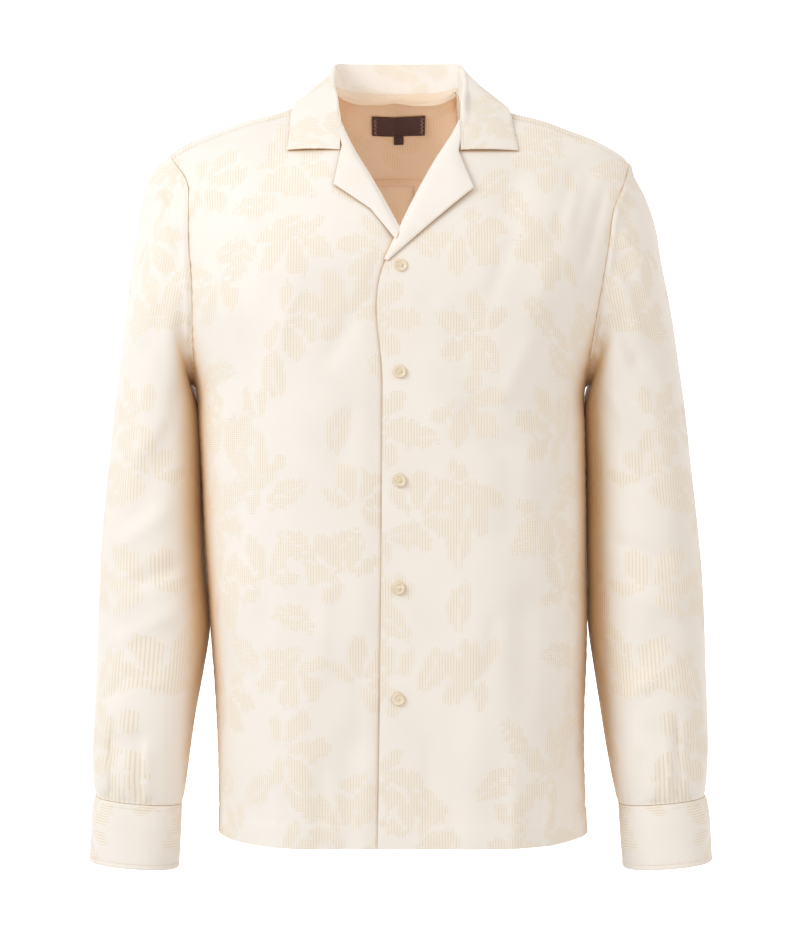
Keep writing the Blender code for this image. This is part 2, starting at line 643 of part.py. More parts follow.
def ring(rows, side, step, angle):
    """Points of a tube: angle 0 faces the body, a quarter the front, half the outside."""
    name = "left" if side > 0 else "right"
    out_x = side * smooth(rows, "out_" + name, step, "step")
    in_x = side * smooth(rows, "in_" + name, step, "step")
    out_z = smooth(rows, "out_z", step, "step")
    in_z = smooth(rows, "in_z", step, "step")
    across = np.sign(np.cos(angle)) * np.abs(np.cos(angle)) ** (2 / SLEEVE_SQUARE)
    deep = np.abs(np.sin(angle)) ** (2 / SLEEVE_SQUARE)
    front = smooth(rows, "front", step, "step")
    back = smooth(rows, "back", step, "step")
    x = (out_x + in_x) / 2 - (out_x - in_x) / 2 * across
    z = (out_z + in_z) / 2 - (out_z - in_z) / 2 * across
    y = smooth(rows, "middle", step, "step") + np.where(np.sin(angle) > 0, -front, back) * deep
    return points(x, y, z)


def loop_angles(loop, top_index):
    """Angle of each armhole point, by its share of the way round."""
    closed = np.vstack([loop, loop[:1]])
    length = np.concatenate([[0], np.cumsum(np.linalg.norm(np.diff(closed, axis=0), axis=1))])
    front = length[top_index]
    angle = np.where(length <= front, math.pi * length / front,
                     math.pi + math.pi * (length - front) / (length[-1] - front))
    return angle[:-1]


def sleeve_surface(side, steps, with_folds=True):
    """The sleeve's outer surface: one ring a step, one column an armhole point."""
    loop, normals = armhole_loop(side)
    top_index = ARMHOLE_ROWS + int(np.argmin(np.abs(shoulder_runs(side))))
    angle = loop_angles(loop, top_index)
    start = ring(SLEEVE, side, np.zeros(1), angle)
    away = unit(np.cross(normals, np.gradient(np.vstack([loop[-1:], loop, loop[:1]]), axis=0)[1:-1]))
    outward = np.sign(np.sum(away * points(side, 0, 0.3), axis=1, keepdims=True))
    own = loop + away * outward * PIECE_GAP / 2 - start
    rings = []
    for step in steps:
        keep = float(smooth(SLEEVE, "keep", np.array(step), "step"))
        rows = ring(SLEEVE, side, np.array([step]), angle) + max(keep, 0) * own
        rings.append(rows)
    grid = np.stack(rings)
    if with_folds:
        behind = (np.sin(angle) < 0)[None, :]
        heights = np.where(behind, fold_depth(3, grid[..., 0], grid[..., 2]),
                           fold_depth(2, grid[..., 0], grid[..., 2]))
        steps = np.asarray(steps)[:, None]
        fade = ease(steps / 3) * ease((16 - steps) / 1.5) * ease(np.abs(np.sin(angle)) * 1.6)[None, :]
        grid[..., 1] += np.where(behind, 1, -1) * heights * fade
    return grid, normals, angle


def sleeve_panel(side, material):
    """One sleeve, from the armhole to its cuff seam."""
    steps = np.concatenate([np.arange(0, 16), [15.6, 16]])
    grid, seam_normals, _ = sleeve_surface(side, steps)
    normal = grid_normals(grid, closed=True)
    middle = grid.mean(axis=1, keepdims=True)
    if np.sum(normal * (grid - middle)) < 0:
        normal = -normal
    normal[0] = seam_normals
    normal[1] = unit(normal[1] + 0.35 * seam_normals)
    name = "sleeve_left" if side > 0 else "sleeve_right"
    return layered(name, grid, grid - normal * CLOTH, material, closed=True)


def cuff_lift(angle):
    """How far the over end of the cuff stands out from the under end."""
    return CUFF_LIFT * ease((angle - 2.85 * math.pi) / (0.25 * math.pi))


def cuff_grid(side, steps, angles, lift=0.0):
    """Points of the cuff's band, moved straight out from its middle by lift."""
    grid = ring(CUFF, side, np.asarray(steps)[:, None], np.asarray(angles)[None, :])
    middle = (ring(CUFF, side, np.asarray(steps)[:, None], np.array([[0.0]]))
              + ring(CUFF, side, np.asarray(steps)[:, None], np.array([[math.pi]]))) / 2
    radial = unit((grid - middle) * np.array([1, 1, 0]))
    return grid + radial * (cuff_lift(np.asarray(angles))[None, :, None] + lift)


def cuff_panel(side, material):
    """One barrel cuff: a band whose ends lap on the outer back side."""
    steps = (0, 0.08, 0.54, 1)
    angles = np.linspace(CUFF_START, CUFF_START + CUFF_SWEEP, CUFF_POINTS + 1)
    outer = cuff_grid(side, steps, angles)
    inner = cuff_grid(side, steps, angles, -DOUBLE_CLOTH)
    return layered("cuff_left" if side > 0 else "cuff_right", outer, inner, material)


def placket(side, material):
    """A plain placket strip above the cuff's opening."""
    grid, _, angle = sleeve_surface(side, np.array([12.7, 13.5, 14.3, 15.1, 15.85]), False)
    columns = []
    for share in (0.0, 0.5, 1.0):
        wanted = (1.235 + 0.085 * share) * math.pi
        columns.append(np.stack([[np.interp(wanted, angle, row[:, k]) for k in range(3)] for row in grid]))
    strip = np.stack(columns, axis=1)
    middle = grid.mean(axis=1, keepdims=True)
    outward = unit((strip - middle) * np.array([1, 1, 0]))
    name = "placket_left" if side > 0 else "placket_right"
    return layered(name, strip + outward * 2.1, strip + outward * 0.9, material)


# Collar and lapels

def on_front(x, z, lift):
    """Points over the fronts, moved out by lift."""
    y = body_y(x, z, False)
    return points(x, y, z) + body_normal(x, z, False) * np.asarray(lift)[..., None]


def lapel_panel(side, material):
    """A turned lapel: it lies on its front, from the roll line to its outer edge."""
    rows = LEFT_LAPEL if side > 0 else RIGHT_LAPEL
    steps = np.array([0, 0.25, 0.5, 0.75, 1, 1.3, 1.6, 1.85, 2.0])
    share = np.linspace(0, 1, 5)[None, :]
    edge_x, edge_z = (straight(rows, name, steps, "step")[:, None] for name in ("edge_x", "edge_z"))
    roll_x, roll_z = (smooth(rows, name, steps, "step")[:, None] for name in ("roll_x", "roll_z"))
    x = roll_x + (edge_x - roll_x) * share
    z = roll_z + (edge_z - roll_z) * share
    width = np.hypot(edge_x - roll_x, edge_z - roll_z)
    crown = 2.2 * np.sin(share * math.pi) * np.clip(width / 40, 0, 1)
    lift = PIECE_GAP + 0.7 + crown
    outer = on_front(x, z, lift + DOUBLE_CLOTH)
    inner = on_front(x, z, lift)
    return layered("lapel_left" if side > 0 else "lapel_right", outer, inner, material)


def fall_clear(x, y):
    """How high the fall hangs over the yoke: highest over the hollows behind the neck's sides."""
    hollow = np.exp(-((np.abs(x - NECK_CENTRE) - 54) / 22) ** 2) * ease((y - 40) / 40)
    return COLLAR_CLEAR + 1.6 + 7.0 * hollow


def collar_section(place):
    """Seam, roll and outer edge of the folded collar's inner face at one place round the neck."""
    side = 1 if place >= 0 else -1
    step = abs(place)
    row = {name: float(smooth(COLLAR, name, np.array(step), "step")) for name in COLLAR}
    centring = NECK_CENTRE * (1 - ease(step / 9))
    roll = np.array([centring + side * row["roll_x"], row["roll_y"], row["roll_z"]])
    edge_x = centring + side * (row["edge_left"] if side > 0 else row["edge_right"])
    if step > FRONT_STEP:
        edge = on_front(np.array(edge_x), np.array(row["edge_z"]), COLLAR_CLEAR)
    else:
        edge_z = float(height_over(np.array(edge_x), np.array(row["edge_y"])))
        edge = np.array([edge_x, row["edge_y"], edge_z + fall_clear(edge_x, row["edge_y"])])
    if step >= GORGE_STEP:
        roll = on_front(np.array(roll[0]), np.array(row["roll_z"]), COLLAR_CLEAR)
        return roll, roll, edge, 0.0
    steps = np.linspace(NECK["step"][-1], 0, 60)
    outs = smooth(NECK, "out", steps, "step") - 0.8
    curve = over_shoulder(NECK_CENTRE + side * outs, smooth(NECK, "run", steps, "step"))
    bearing = np.arctan2(curve[:, 1], side * (curve[:, 0] - centring))
    toward = math.atan2(roll[1], side * (roll[0] - centring))
    seam = np.array([np.interp(toward, bearing, curve[:, k]) for k in range(3)])
    if step > FRONT_STEP:
        seam = on_front(np.array(side * 60.5), np.array(-13.0), COLLAR_CLEAR)
    return seam + np.array([0, 0, 1.0]), roll, edge, 1.0


def collar_profile(place):
    """Inner face of the folded collar (up the stand, round the roll, down the fall), and
    the direction in which each of its points has the wall's outer face."""
    seam, roll, edge, stand = collar_section(place)
    fall = np.linspace(0, 1, COLLAR_FALL_POINTS + 1)
    if not stand:
        shares = np.concatenate([[0, 0.03, 0.06, 0.09], 0.12 + 0.88 * fall])
        flat = seam + (edge - seam) * shares[:, None]
        lift = COLLAR_CLEAR + 1.6 * np.sin(shares * math.pi)
        return on_front(flat[:, 0], flat[:, 2], lift), body_normal(flat[:, 0], flat[:, 2], False)
    up = np.array([0, 0, 1.0])
    out = unit((edge - roll) * np.array([1, 1, 0]))
    heart = roll - up * (DOUBLE_CLOTH + ROLL_RADIUS)
    start = heart + out * ROLL_RADIUS
    stand_top = heart - out * ROLL_RADIUS
    line = [seam, seam + (stand_top - seam) * 0.55, stand_top, heart + up * ROLL_RADIUS]
    crown = 2.5 * np.sin(fall * math.pi)[:, None] * unit(out + up)
    falling = start + (edge - start) * fall[:, None] + crown
    if abs(place) > FRONT_STEP:
        lift = np.linspace(3.0, COLLAR_CLEAR, len(fall)) + 1.6 * np.sin(fall * math.pi)
        falling = on_front(falling[:, 0], falling[:, 2], lift)
        falling[0] = start
    else:
        floor = height_over(falling[:, 0], falling[:, 1]) + fall_clear(falling[:, 0], falling[:, 1])
        falling[:, 2] = np.maximum(falling[:, 2], floor)
    along = np.gradient(falling, axis=0)
    round_neck = np.cross(out, up)
    facing = unit(np.cross(round_neck, along))
    facing[0] = unit(out + facing[0])
    line_facing = [-out, -out, unit(up * 0.4 - out), up]
    return np.vstack([line, falling]), np.vstack([line_facing, facing])


def collar_panel(material):
    """The collar: one wall folded at its roll line, from notch to notch round the neck."""
    last = int(COLLAR["step"][-1])
    profiles = [collar_profile(place) for place in range(-last, last + 1)]
    grid = np.stack([line for line, _ in profiles])
    facing = np.stack([directions for _, directions in profiles])
    return layered("collar", grid + facing * DOUBLE_CLOTH, grid, material)


# Small pieces

def disc(name, centre, normal, radius, thick, material):
    """A round button with a raised rim round a shallow dish, its back at centre."""
    profile = ((0.55, 0), (0.92, 0.12), (1.0, 0.5), (0.94, 0.92), (0.78, 1.0), (0.62, 0.72), (0.0, 0.66))
    normal = unit(np.asarray(normal, dtype=float))
    first = unit(np.cross(normal, np.array([0, 0, 1.0])))
    second = np.cross(normal, first)
    verts = [np.asarray(centre, dtype=float)]
    faces = []
    count = 16
    for share, height in profile[:-1]:
        for k in range(count):
            turn = 2 * math.pi * k / count
            spoke = first * math.cos(turn) + second * math.sin(turn)
            verts.append(verts[0] + spoke * radius * share + normal * thick * height)
    verts.append(verts[0] + normal * thick * profile[-1][1])
    for k in range(count):
        following = (k + 1) % count
        faces.append((0, 1 + following, 1 + k))
        for level in range(len(profile) - 2):
            low = 1 + level * count
            high = low + count
            faces.append((low + k, low + following, high + following, high + k))
        top = 1 + (len(profile) - 2) * count
        faces.append((top + k, top + following, len(verts) - 1))
    return make_object(name, verts, faces, material)


def front_button(number, x, z, seat, material):
    """One front button, on the left front's outer surface."""
    x = np.array(x)
    z = np.array(z)
    centre = on_front(x, z, np.array(seat))
    return disc(f"button_{number}", centre, body_normal(x, z, False), BUTTON_RADIUS, BUTTON_THICK, material)


def cuff_button(side, material):
    """The cuff's one button, on the lap at the outer back side."""
    angle = CUFF_START + CUFF_SWEEP - 0.085 * math.pi
    around = cuff_grid(side, (0.5,), (angle - 0.02, angle, angle + 0.02))[0]
    middle = (cuff_grid(side, (0.5,), (math.pi,))[0, 0] + cuff_grid(side, (0.5,), (2 * math.pi,))[0, 0]) / 2
    along = np.cross(around[2] - around[0], np.array([0, 0, 1.0]))
    normal = unit(along * np.sign(np.dot(along, around[1] - middle)))
    name = "cuff_button_left" if side > 0 else "cuff_button_right"
    return disc(name, around[1] + normal * 0.9, normal, CUFF_BUTTON_RADIUS, BUTTON_THICK, material)


def yoke_inside(x, z, depth):
    """Points under the yoke's inner face at the centre back, moved inwards by depth."""
    run = run_behind(x, z)
    return over_shoulder(x, run) - over_shoulder_normal(x, run) * (CLOTH + depth)


def label_strip(name, x_range, z_range, depth, thick, material):
    """A woven strip that lies inside the yoke at the back of the neck."""
    x, z = np.meshgrid(np.linspace(*x_range, 9), np.linspace(*z_range, 4))
    return layered(name, yoke_inside(x, z, depth + thick), yoke_inside(x, z, depth), material)


def main():
    """Clear the scene and make every piece."""
    for old in list(bpy.data.objects):
        bpy.data.objects.remove(old, do_unlink=True)
    cream = plain_material("cream_cloth", CREAM, 0.8)
    for side in (1, -1):
        front_panel(side, cream)
        sleeve_panel(side, cream)
        cuff_panel(side, cream)
        placket(side, cream)
        lapel_panel(side, cream)
    back_panel(cream)
    yoke_panel(cream)
    collar_panel(cream)
    pearl = plain_material("pearl", PEARL, 0.35)
    for number, (x, z, seat) in enumerate(BUTTONS, start=1):
        front_button(number, x, z, seat, pearl)
    for side in (1, -1):
        cuff_button(side, pearl)
    plum = plain_material("plum_weave", PLUM, 0.7)
    label_strip("label", LABEL_X, LABEL_Z, LABEL_CLEAR, LABEL_THICK, plum)
    label_strip("size_tab", TAB_X, TAB_Z, LABEL_CLEAR, LABEL_THICK, plum)


def plain_material(name, colour, rough):
    """A plain finish."""
    material = bpy.data.materials.new(name)
    material.use_nodes = True
    shader = material.node_tree.nodes["Principled BSDF"]
    shader.inputs["Base Color"].default_value = colour
    shader.inputs["Roughness"].default_value = rough
    shader.inputs["Metallic"].default_value = 0.0
    return material


main()
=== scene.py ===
"""Looks of the long-sleeve camp-collar shirt, in its worn, hollow form.

X runs to the wearer's left, Y to the back and Z up. The origin lies between the
shoulders, at the height of the neck side points. Tables and sizes are in
millimetres, and MM turns them into metres when a mesh is made.
"""
import math

import bpy
import numpy as np
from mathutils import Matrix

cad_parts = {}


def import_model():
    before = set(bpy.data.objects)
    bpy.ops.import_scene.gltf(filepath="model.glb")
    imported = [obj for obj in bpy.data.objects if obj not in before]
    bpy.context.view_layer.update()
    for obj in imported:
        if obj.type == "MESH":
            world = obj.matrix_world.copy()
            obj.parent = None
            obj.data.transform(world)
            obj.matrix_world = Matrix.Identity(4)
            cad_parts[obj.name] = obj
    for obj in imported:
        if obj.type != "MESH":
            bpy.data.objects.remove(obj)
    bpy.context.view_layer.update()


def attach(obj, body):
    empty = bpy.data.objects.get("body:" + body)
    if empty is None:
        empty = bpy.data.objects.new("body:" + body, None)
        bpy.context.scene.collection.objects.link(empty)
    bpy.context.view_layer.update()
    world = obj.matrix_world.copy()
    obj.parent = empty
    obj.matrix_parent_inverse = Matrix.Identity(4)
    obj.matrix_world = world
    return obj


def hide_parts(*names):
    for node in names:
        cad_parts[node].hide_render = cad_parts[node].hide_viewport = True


MM = 0.001
PIECE_GAP = 0.12         # between neighbouring pieces
YOKE_SEAM_GAP = 0.06     # the same, where the seam's two edges have different columns
CLOTH = 1.0              # wall of a single cloth layer
DOUBLE_CLOTH = 1.6       # wall of collar, lapels and cuffs

HEM_Z = -723.0
ARMPIT_Z = -280.0
SHOULDER_CENTRE = -5.0
RIDGE_RADIUS = 12.0      # roundness of the shoulder line
FRONT_SLOPE = 200.0      # run over which the front falls away to full depth
BACK_SLOPE = 110.0
SLOPE_POWER = 1.95
SHOULDER_SEAM_RUN = -16.0
YOKE_Z = -59.0           # back yoke seam at the centre back
YOKE_DROP = 39.0         # how much lower the seam is at the armholes
ARMHOLE_REACH = 210.0
LAP = 2.4                # how far the under front steps in below the top front
LAP_BLEND = 20.0
PLEAT_HALF = 18.0        # half width of the back box pleat
PLEAT_PROUD = 2.2
PLEAT_EDGE = 2.5
PLEAT_FADE_Z = -420.0

BUTTON_RADIUS = 5.9
BUTTON_THICK = 2.6
CUFF_BUTTON_RADIUS = 5.4
ZIGZAG_POINTS = 9
ZIGZAG_HALF = 1.3
BUTTON_HOLE_OUT = 0.19

# Button from its back to its dish: shares of its radius and of its thickness.
BUTTON_PROFILE = (
    (0, 0), (0.55, 0), (0.90, 0.10), (0.985, 0.32), (1.0, 0.55), (0.975, 0.80), (0.92, 0.95),
    (0.86, 1.0), (0.79, 0.97), (0.72, 0.84), (0.64, 0.70), (0.5, 0.64), (0.25, 0.62), (0, 0.62))
HOLE_PROFILE = ((0, -0.5), (0.5, -0.5), (0.54, 0.03), (0.40, 0.05), (0, 0.02))

# Front buttons: where their centres are, and how far their backs stand off the front's form.
BUTTONS = (
    (1.0, -167.0, -0.5), (0.0, -268.0, 0.3), (0.0, -371.5, 0.3), (-1.0, -474.0, 0.3),
    (-1.4, -579.5, 0.3))

LABEL_X = (-29.3, 26.7)
LABEL_Z = (-12.0, 4.4)
TAB_X = (-6.8, 4.1)
TAB_Z = (-20.0, -12.6)
LABEL_THICK = 0.8
LABEL_CLEAR = 1.4

FRONT_COLUMNS = 62
BACK_COLUMNS = 44
BODY_ROWS = 104
ARMHOLE_ROWS = 44
YOKE_ROWS = 26
NECK_COLUMNS = 16
COLLAR_FALL_POINTS = 18

STAND_POINTS = 10
ROLL_POINTS = 7
COLLAR_ROWS_A_STEP = 9
SLEEVE_ROWS = 170
NECK_SEAM_Z = 23.3       # height of the seam that shows inside the back of the neck
NECK_TAPE_STEPS = 7.2    # how far round the neck its tape goes, in collar steps
NECK_TAPE_FULL = 5.4     # from here on it narrows, over a run of 1.6 steps
CAP_ROLL = 0.9           # puffed edge of the sleeve head beside its seam
ARMPIT_STEP = 5          # row of SLEEVE from which the sleeve is free of the body
SLEEVE_END = 16          # its last row, at the cuff seam
ARC_SAMPLES = 1500
SPREAD_RISE = 220.0      # run above the armpit in which a panel's columns even out
LIFT_POWER = 3           # how soon a panel's rows take up the bow of its upper edge
CUFF_STITCH_IN = 5.0
LAPEL_ROLL = 3.4
LAPEL_RISE = 2.0         # how far a lapel's free edge stands off its front
RIGHT_CLOTH_START = 371.0    # where the right front's cloth starts, so its leaves differ
CREASE_DEPTH = 1.5

KEY_POWER = 50.0
FILL_POWER = 17.0
TOP_POWER = 3.0
INSIDE_POWER = 0.16      # light that comes through the cloth
WORLD_POWER = 0.66
FLOOR_GLOW = 1.0


def table(columns, *rows):
    """A short table: each named column becomes an array, one value a row."""
    return dict(zip(columns.split(), np.array(rows, dtype=float).T))


# Body sections by height: centre line, half widths, depths and squareness.
# Above the armpit the half widths run on past the armhole, which cuts them off.
BODY = table(
    "z centre left right front back square corner",
    (-723, 3, 183, 184, 114, 118, 5.0, 1.35),
    (-632, 1, 183.5, 183, 115, 117, 4.8, 1.40),
    (-518, -1, 188.5, 188, 117, 116, 4.5, 1.45),
    (-452, -3.5, 190.5, 190, 118, 116, 4.2, 1.50),
    (-322, -7, 194, 192.5, 121, 120, 3.6, 1.70),
    (-280, -7, 197, 192, 122, 124, 3.4, 1.80),
    (-243, -7, 209, 206, 122, 127, 3.2, 1.90),
    (-180, -6, 225, 234, 122, 130, 3.0, 2.00),
    (-138, -5, 234, 250, 121, 131, 3.0, 2.00),
    (-107, -5, 241, 268, 121, 130, 3.0, 2.00),
    (-60, -5, 256, 284, 121, 129, 3.0, 2.00),
    (60, -5, 262, 290, 121, 128, 3.0, 2.00))

# Height of the shoulder line by distance out from the centre, in front and behind.
RIDGE = table(
    "out front back",
    (0, 16, 40), (30, 16, 32), (45, 16, 25), (60, 15.5, 17.5), (66, 14, 14), (90, 5.5, 5.5),
    (115, -4, -4), (149, -12.5, -12.5), (176, -22.5, -22.5), (199, -31.5, -31.5),
    (217, -41, -41), (226, -47, -47), (234, -54.5, -54.5), (250, -68, -68))

# Armhole by height: distance of its front and back edges to the wearer's left and right.
ARMHOLE = table(
    "z front_left front_right back_left back_right",
    (-280, 185, 204, 185, 204), (-243, 188, 203, 190, 204.5), (-219, 191, 202.7, 194, 205),
    (-180, 197, 203, 200, 206), (-138, 204.5, 206.6, 207, 209), (-107, 209.5, 207.5, 212, 212),
    (-75, 223, 211, 222, 219), (-54, 229, 226, 229, 228), (-47, 230, 231, 230, 231))

# Neck seam by its run behind (+) or before (-) the shoulder line.
NECK = table(
    "step out run",
    (0, 0, 31.7), (1, 22, 29.5), (2, 40, 23), (3, 53, 14), (4, 61, 3.5), (5, 65.5, -16))

# Inner edge of each front, from the hem up: front edge, break, roll line, neck seam.
LEFT_EDGE = table(
    "z x",
    (-723, -21.4), (-640, -20), (-480, -18), (-280, -16.5), (-164, -14.5), (-150, -8), (-135, -2),
    (-108, 12), (-83, 25), (-54, 41), (-29, 55.5), (-2, 62.5))
RIGHT_EDGE = table(
    "z x",
    (-723, 15), (-480, 16), (-280, 16), (-175, 15), (-152, 8), (-135, -2), (-111, -14),
    (-87, -26), (-54, -46), (-28, -57), (-2, -67.5))

# Lapels: roll line and outer edge, from the top of the gorge seam (0) by the notch (0.5)
# and the tip (1) to the break (2).
LEFT_LAPEL = table(
    "step roll_x roll_z edge_x edge_z",
    (0, 59.4, -20, 61.4, -21), (0.25, 53.5, -33, 59.4, -38), (0.5, 46.5, -45, 56.5, -54.5),
    (0.75, 41.5, -53, 63, -73), (1, 35.5, -63, 70.2, -92), (1.5, 13, -106, 29, -127),
    (2, -13.2, -162, -11.5, -162.5))
RIGHT_LAPEL = table(
    "step roll_x roll_z edge_x edge_z",
    (0, -59.6, -20, -61.4, -21), (0.25, -54.5, -33, -59.4, -37), (0.5, -49, -45, -56.4, -47.5),
    (0.75, -45, -53, -60, -68), (1, -40, -62, -63.5, -88.5), (1.5, -24, -90, -28, -113),
    (2, -0.5, -134, -3.6, -143))

# Collar from the centre back (0) round the neck side (6) to the notch (11): its roll line,
# and where its outer edge lies on the wearer's left and right. An edge behind the shoulder
# line lies over (x, y), and in front of it over (x, z).
COLLAR = table(
    "step roll_x roll_y roll_z edge_left edge_right edge_y edge_z",
    (0, 0, 66, 55.5, 0, 0, 99, 0), (1, 26, 65.5, 55.5, 30, 30, 98, 0), (2, 48, 61.5, 55, 59, 59, 91, 0),
    (3, 59.5, 53, 54, 82, 80, 75, 0), (4, 64, 41, 50, 97, 94, 52, 0), (5, 65.5, 26, 43, 105, 101.5, 28, 0),
    (6, 66, 8, 32, 108.5, 104.5, 8, 0), (7, 65.5, -12, 20.5, 110, 106, -12, 0),
    (8, 63, -32, 4, 110, 107, 0, -15), (9, 57.8, 0, -29, 111.5, 107.5, 0, -29),
    (10, 58, 0, -42, 113.5, 108.5, 0, -41), (11, 58.2, 0, -53, 115.5, 109.5, 0, -51))
NECK_CENTRE = -4.0
FRONT_STEP = 7           # last collar step that lies on the shoulder's top
GORGE_STEP = 9           # from here on the collar has no stand
ROLL_RADIUS = 1.1        # inside the fold at the roll line
COLLAR_CLEAR = 1.3       # between the collar's fall and the body under it

# Sleeve rings from the armhole (0) to the cuff seam (16). Out is the side away from the
# body, in the side along it; keep is how much of the armhole's own form is left.
SLEEVE = table(
    "step out_z out_left out_right in_z in_left in_right middle front back keep",
    (0, -50, 229, 231, -280, 185, 204, 0, 66, 70, 1.0),
    (1, -64, 235, 245, -276.5, 186.6, 205.6, 1, 67, 71, 0.92),
    (2, -86, 246.5, 255, -275.5, 189.0, 208.3, 2, 68, 72, 0.80),
    (3, -115, 256, 262, -277.5, 190.2, 209.6, 4, 70, 73, 0.62),
    (4, -150, 262, 267, -284, 188.0, 207.2, 7, 72, 74, 0.42),
    (5, -192, 270, 273.3, -295, 184.6, 203.2, 11, 74, 75, 0.25),
    (6, -240, 277.6, 279.8, -312, 183.6, 199.6, 15, 75, 76, 0.12),
    (7, -292, 285, 285.5, -338, 184.6, 198.2, 18, 75, 76, 0.04),
    (8, -345, 291.3, 291.3, -375, 186.2, 197.6, 19, 74, 75, 0.0),
    (9, -400, 297, 296.3, -420, 187.1, 196.7, 17, 73, 74, 0.0),
    (10, -455, 302, 299.8, -468, 187.7, 194.2, 13, 71, 72, 0.0),
    (11, -508, 304, 302, -515, 188.8, 191.0, 8, 68, 69, 0.0),
    (12, -556, 305.2, 303.2, -561, 194.5, 196.6, 3, 64, 65, 0.0),
    (13, -600, 306, 304.8, -606, 201.4, 204.4, -3, 59, 60, 0.0),
    (14, -636, 306, 305.8, -643, 207, 209.8, -8, 54, 55, 0.0),
    (15, -665, 304.5, 304.8, -673, 212.3, 213.8, -12, 48, 49, 0.0),
    (16, -684, 301.8, 301.2, -691.5, 217, 216.9, -14, 41.5, 42.5, 0.0))
SLEEVE_SQUARE = 2.25

# Cuff rings from the seam (0) to the open edge (1).
CUFF = table(
    "step out_z out_left out_right in_z in_left in_right middle front back",
    (0, -684.4, 301.8, 301.2, -691.9, 217, 216.9, -14, 41.5, 42.5),
    (0.08, -689, 303, 302.2, -697, 217.2, 217, -14.4, 41.5, 42.5),
    (1, -748, 308, 306.4, -755, 221.3, 219.5, -17, 40.5, 41.5))
CUFF_START = 1.20 * math.pi      # where the under end begins, on the outer back side
CUFF_SWEEP = 2.17 * math.pi
CUFF_LIFT = 3.0                  # how far the over end stands out from the under end
CUFF_POINTS = 170
CUFF_WIDTH = 63.0
CUFF_RADIUS = 44.0               # round which its pattern and its puckers run
SLEEVE_RADIUS = 48.0

# Main folds: a soft ridge (+) or trough (-) along a line seen from the front or behind.
# Face 0 is the fronts, 1 the back, 2 the sleeves' front, 3 the sleeves' back.
FOLDS = table(
    "face x1 z1 x2 z2 width depth",
    (0, 183, -62, 147, -150, 13, -3.5), (0, 117, -72, 98, -128, 14, -2.0),
    (0, 170, -95, 128, -215, 15, 2.2), (0, 104, -330, 106, -430, 14, -2.2),
    (0, 118, -480, 120, -600, 14, -3.0), (0, 140, -420, 166, -580, 15, 2.6),
    (0, 165, -610, 168, -740, 14, -3.5), (0, 72, -600, 66, -740, 16, 2.0),
    (0, -34, -515, -36, -645, 10, -1.6), (0, -48, -610, -52, -740, 15, -3.4),
    (0, -95, -560, -100, -740, 18, 2.6), (0, -150, -600, -146, -740, 14, -3.0),
    (0, -178, -80, -150, -190, 14, -2.6), (0, -120, -95, -108, -180, 15, 1.6),
    (0, -150, -300, -162, -440, 15, -2.4), (0, 60, -200, 78, -330, 17, -1.6),
    (1, 62, -80, 80, -380, 17, -2.8), (1, -70, -85, -88, -400, 17, -2.8),
    (1, 150, -110, 120, -240, 15, -2.6), (1, -160, -110, -128, -250, 15, -2.6),
    (1, 40, -430, 44, -740, 18, -3.2), (1, -46, -450, -50, -740, 18, -3.2),
    (1, 110, -520, 116, -740, 16, 3.0), (1, -118, -500, -122, -740, 16, 3.0),
    (2, 215, -150, 250, -240, 12, -2.6), (2, 220, -320, 262, -400, 14, -2.6),
    (2, 232, -560, 262, -500, 13, -2.4), (2, 240, -610, 290, -640, 12, -2.2),
    (2, -222, -160, -252, -250, 12, -2.6), (2, -226, -330, -262, -420, 14, -2.6),
    (2, -235, -560, -270, -510, 13, -2.4), (2, -245, -620, -290, -640, 12, -2.2),
    (3, 222, -180, 262, -270, 13, -2.6), (3, 215, -370, 275, -420, 14, -3.0),
    (3, 215, -430, 275, -400, 14, -2.6), (3, 235, -600, 280, -560, 13, -2.4),
    (3, -228, -180, -265, -280, 13, -2.6), (3, -222, -380, -278, -430, 14, -3.0),
    (3, -222, -440, -278, -410, 14, -2.6), (3, -240, -610, -285, -570, 13, -2.4))

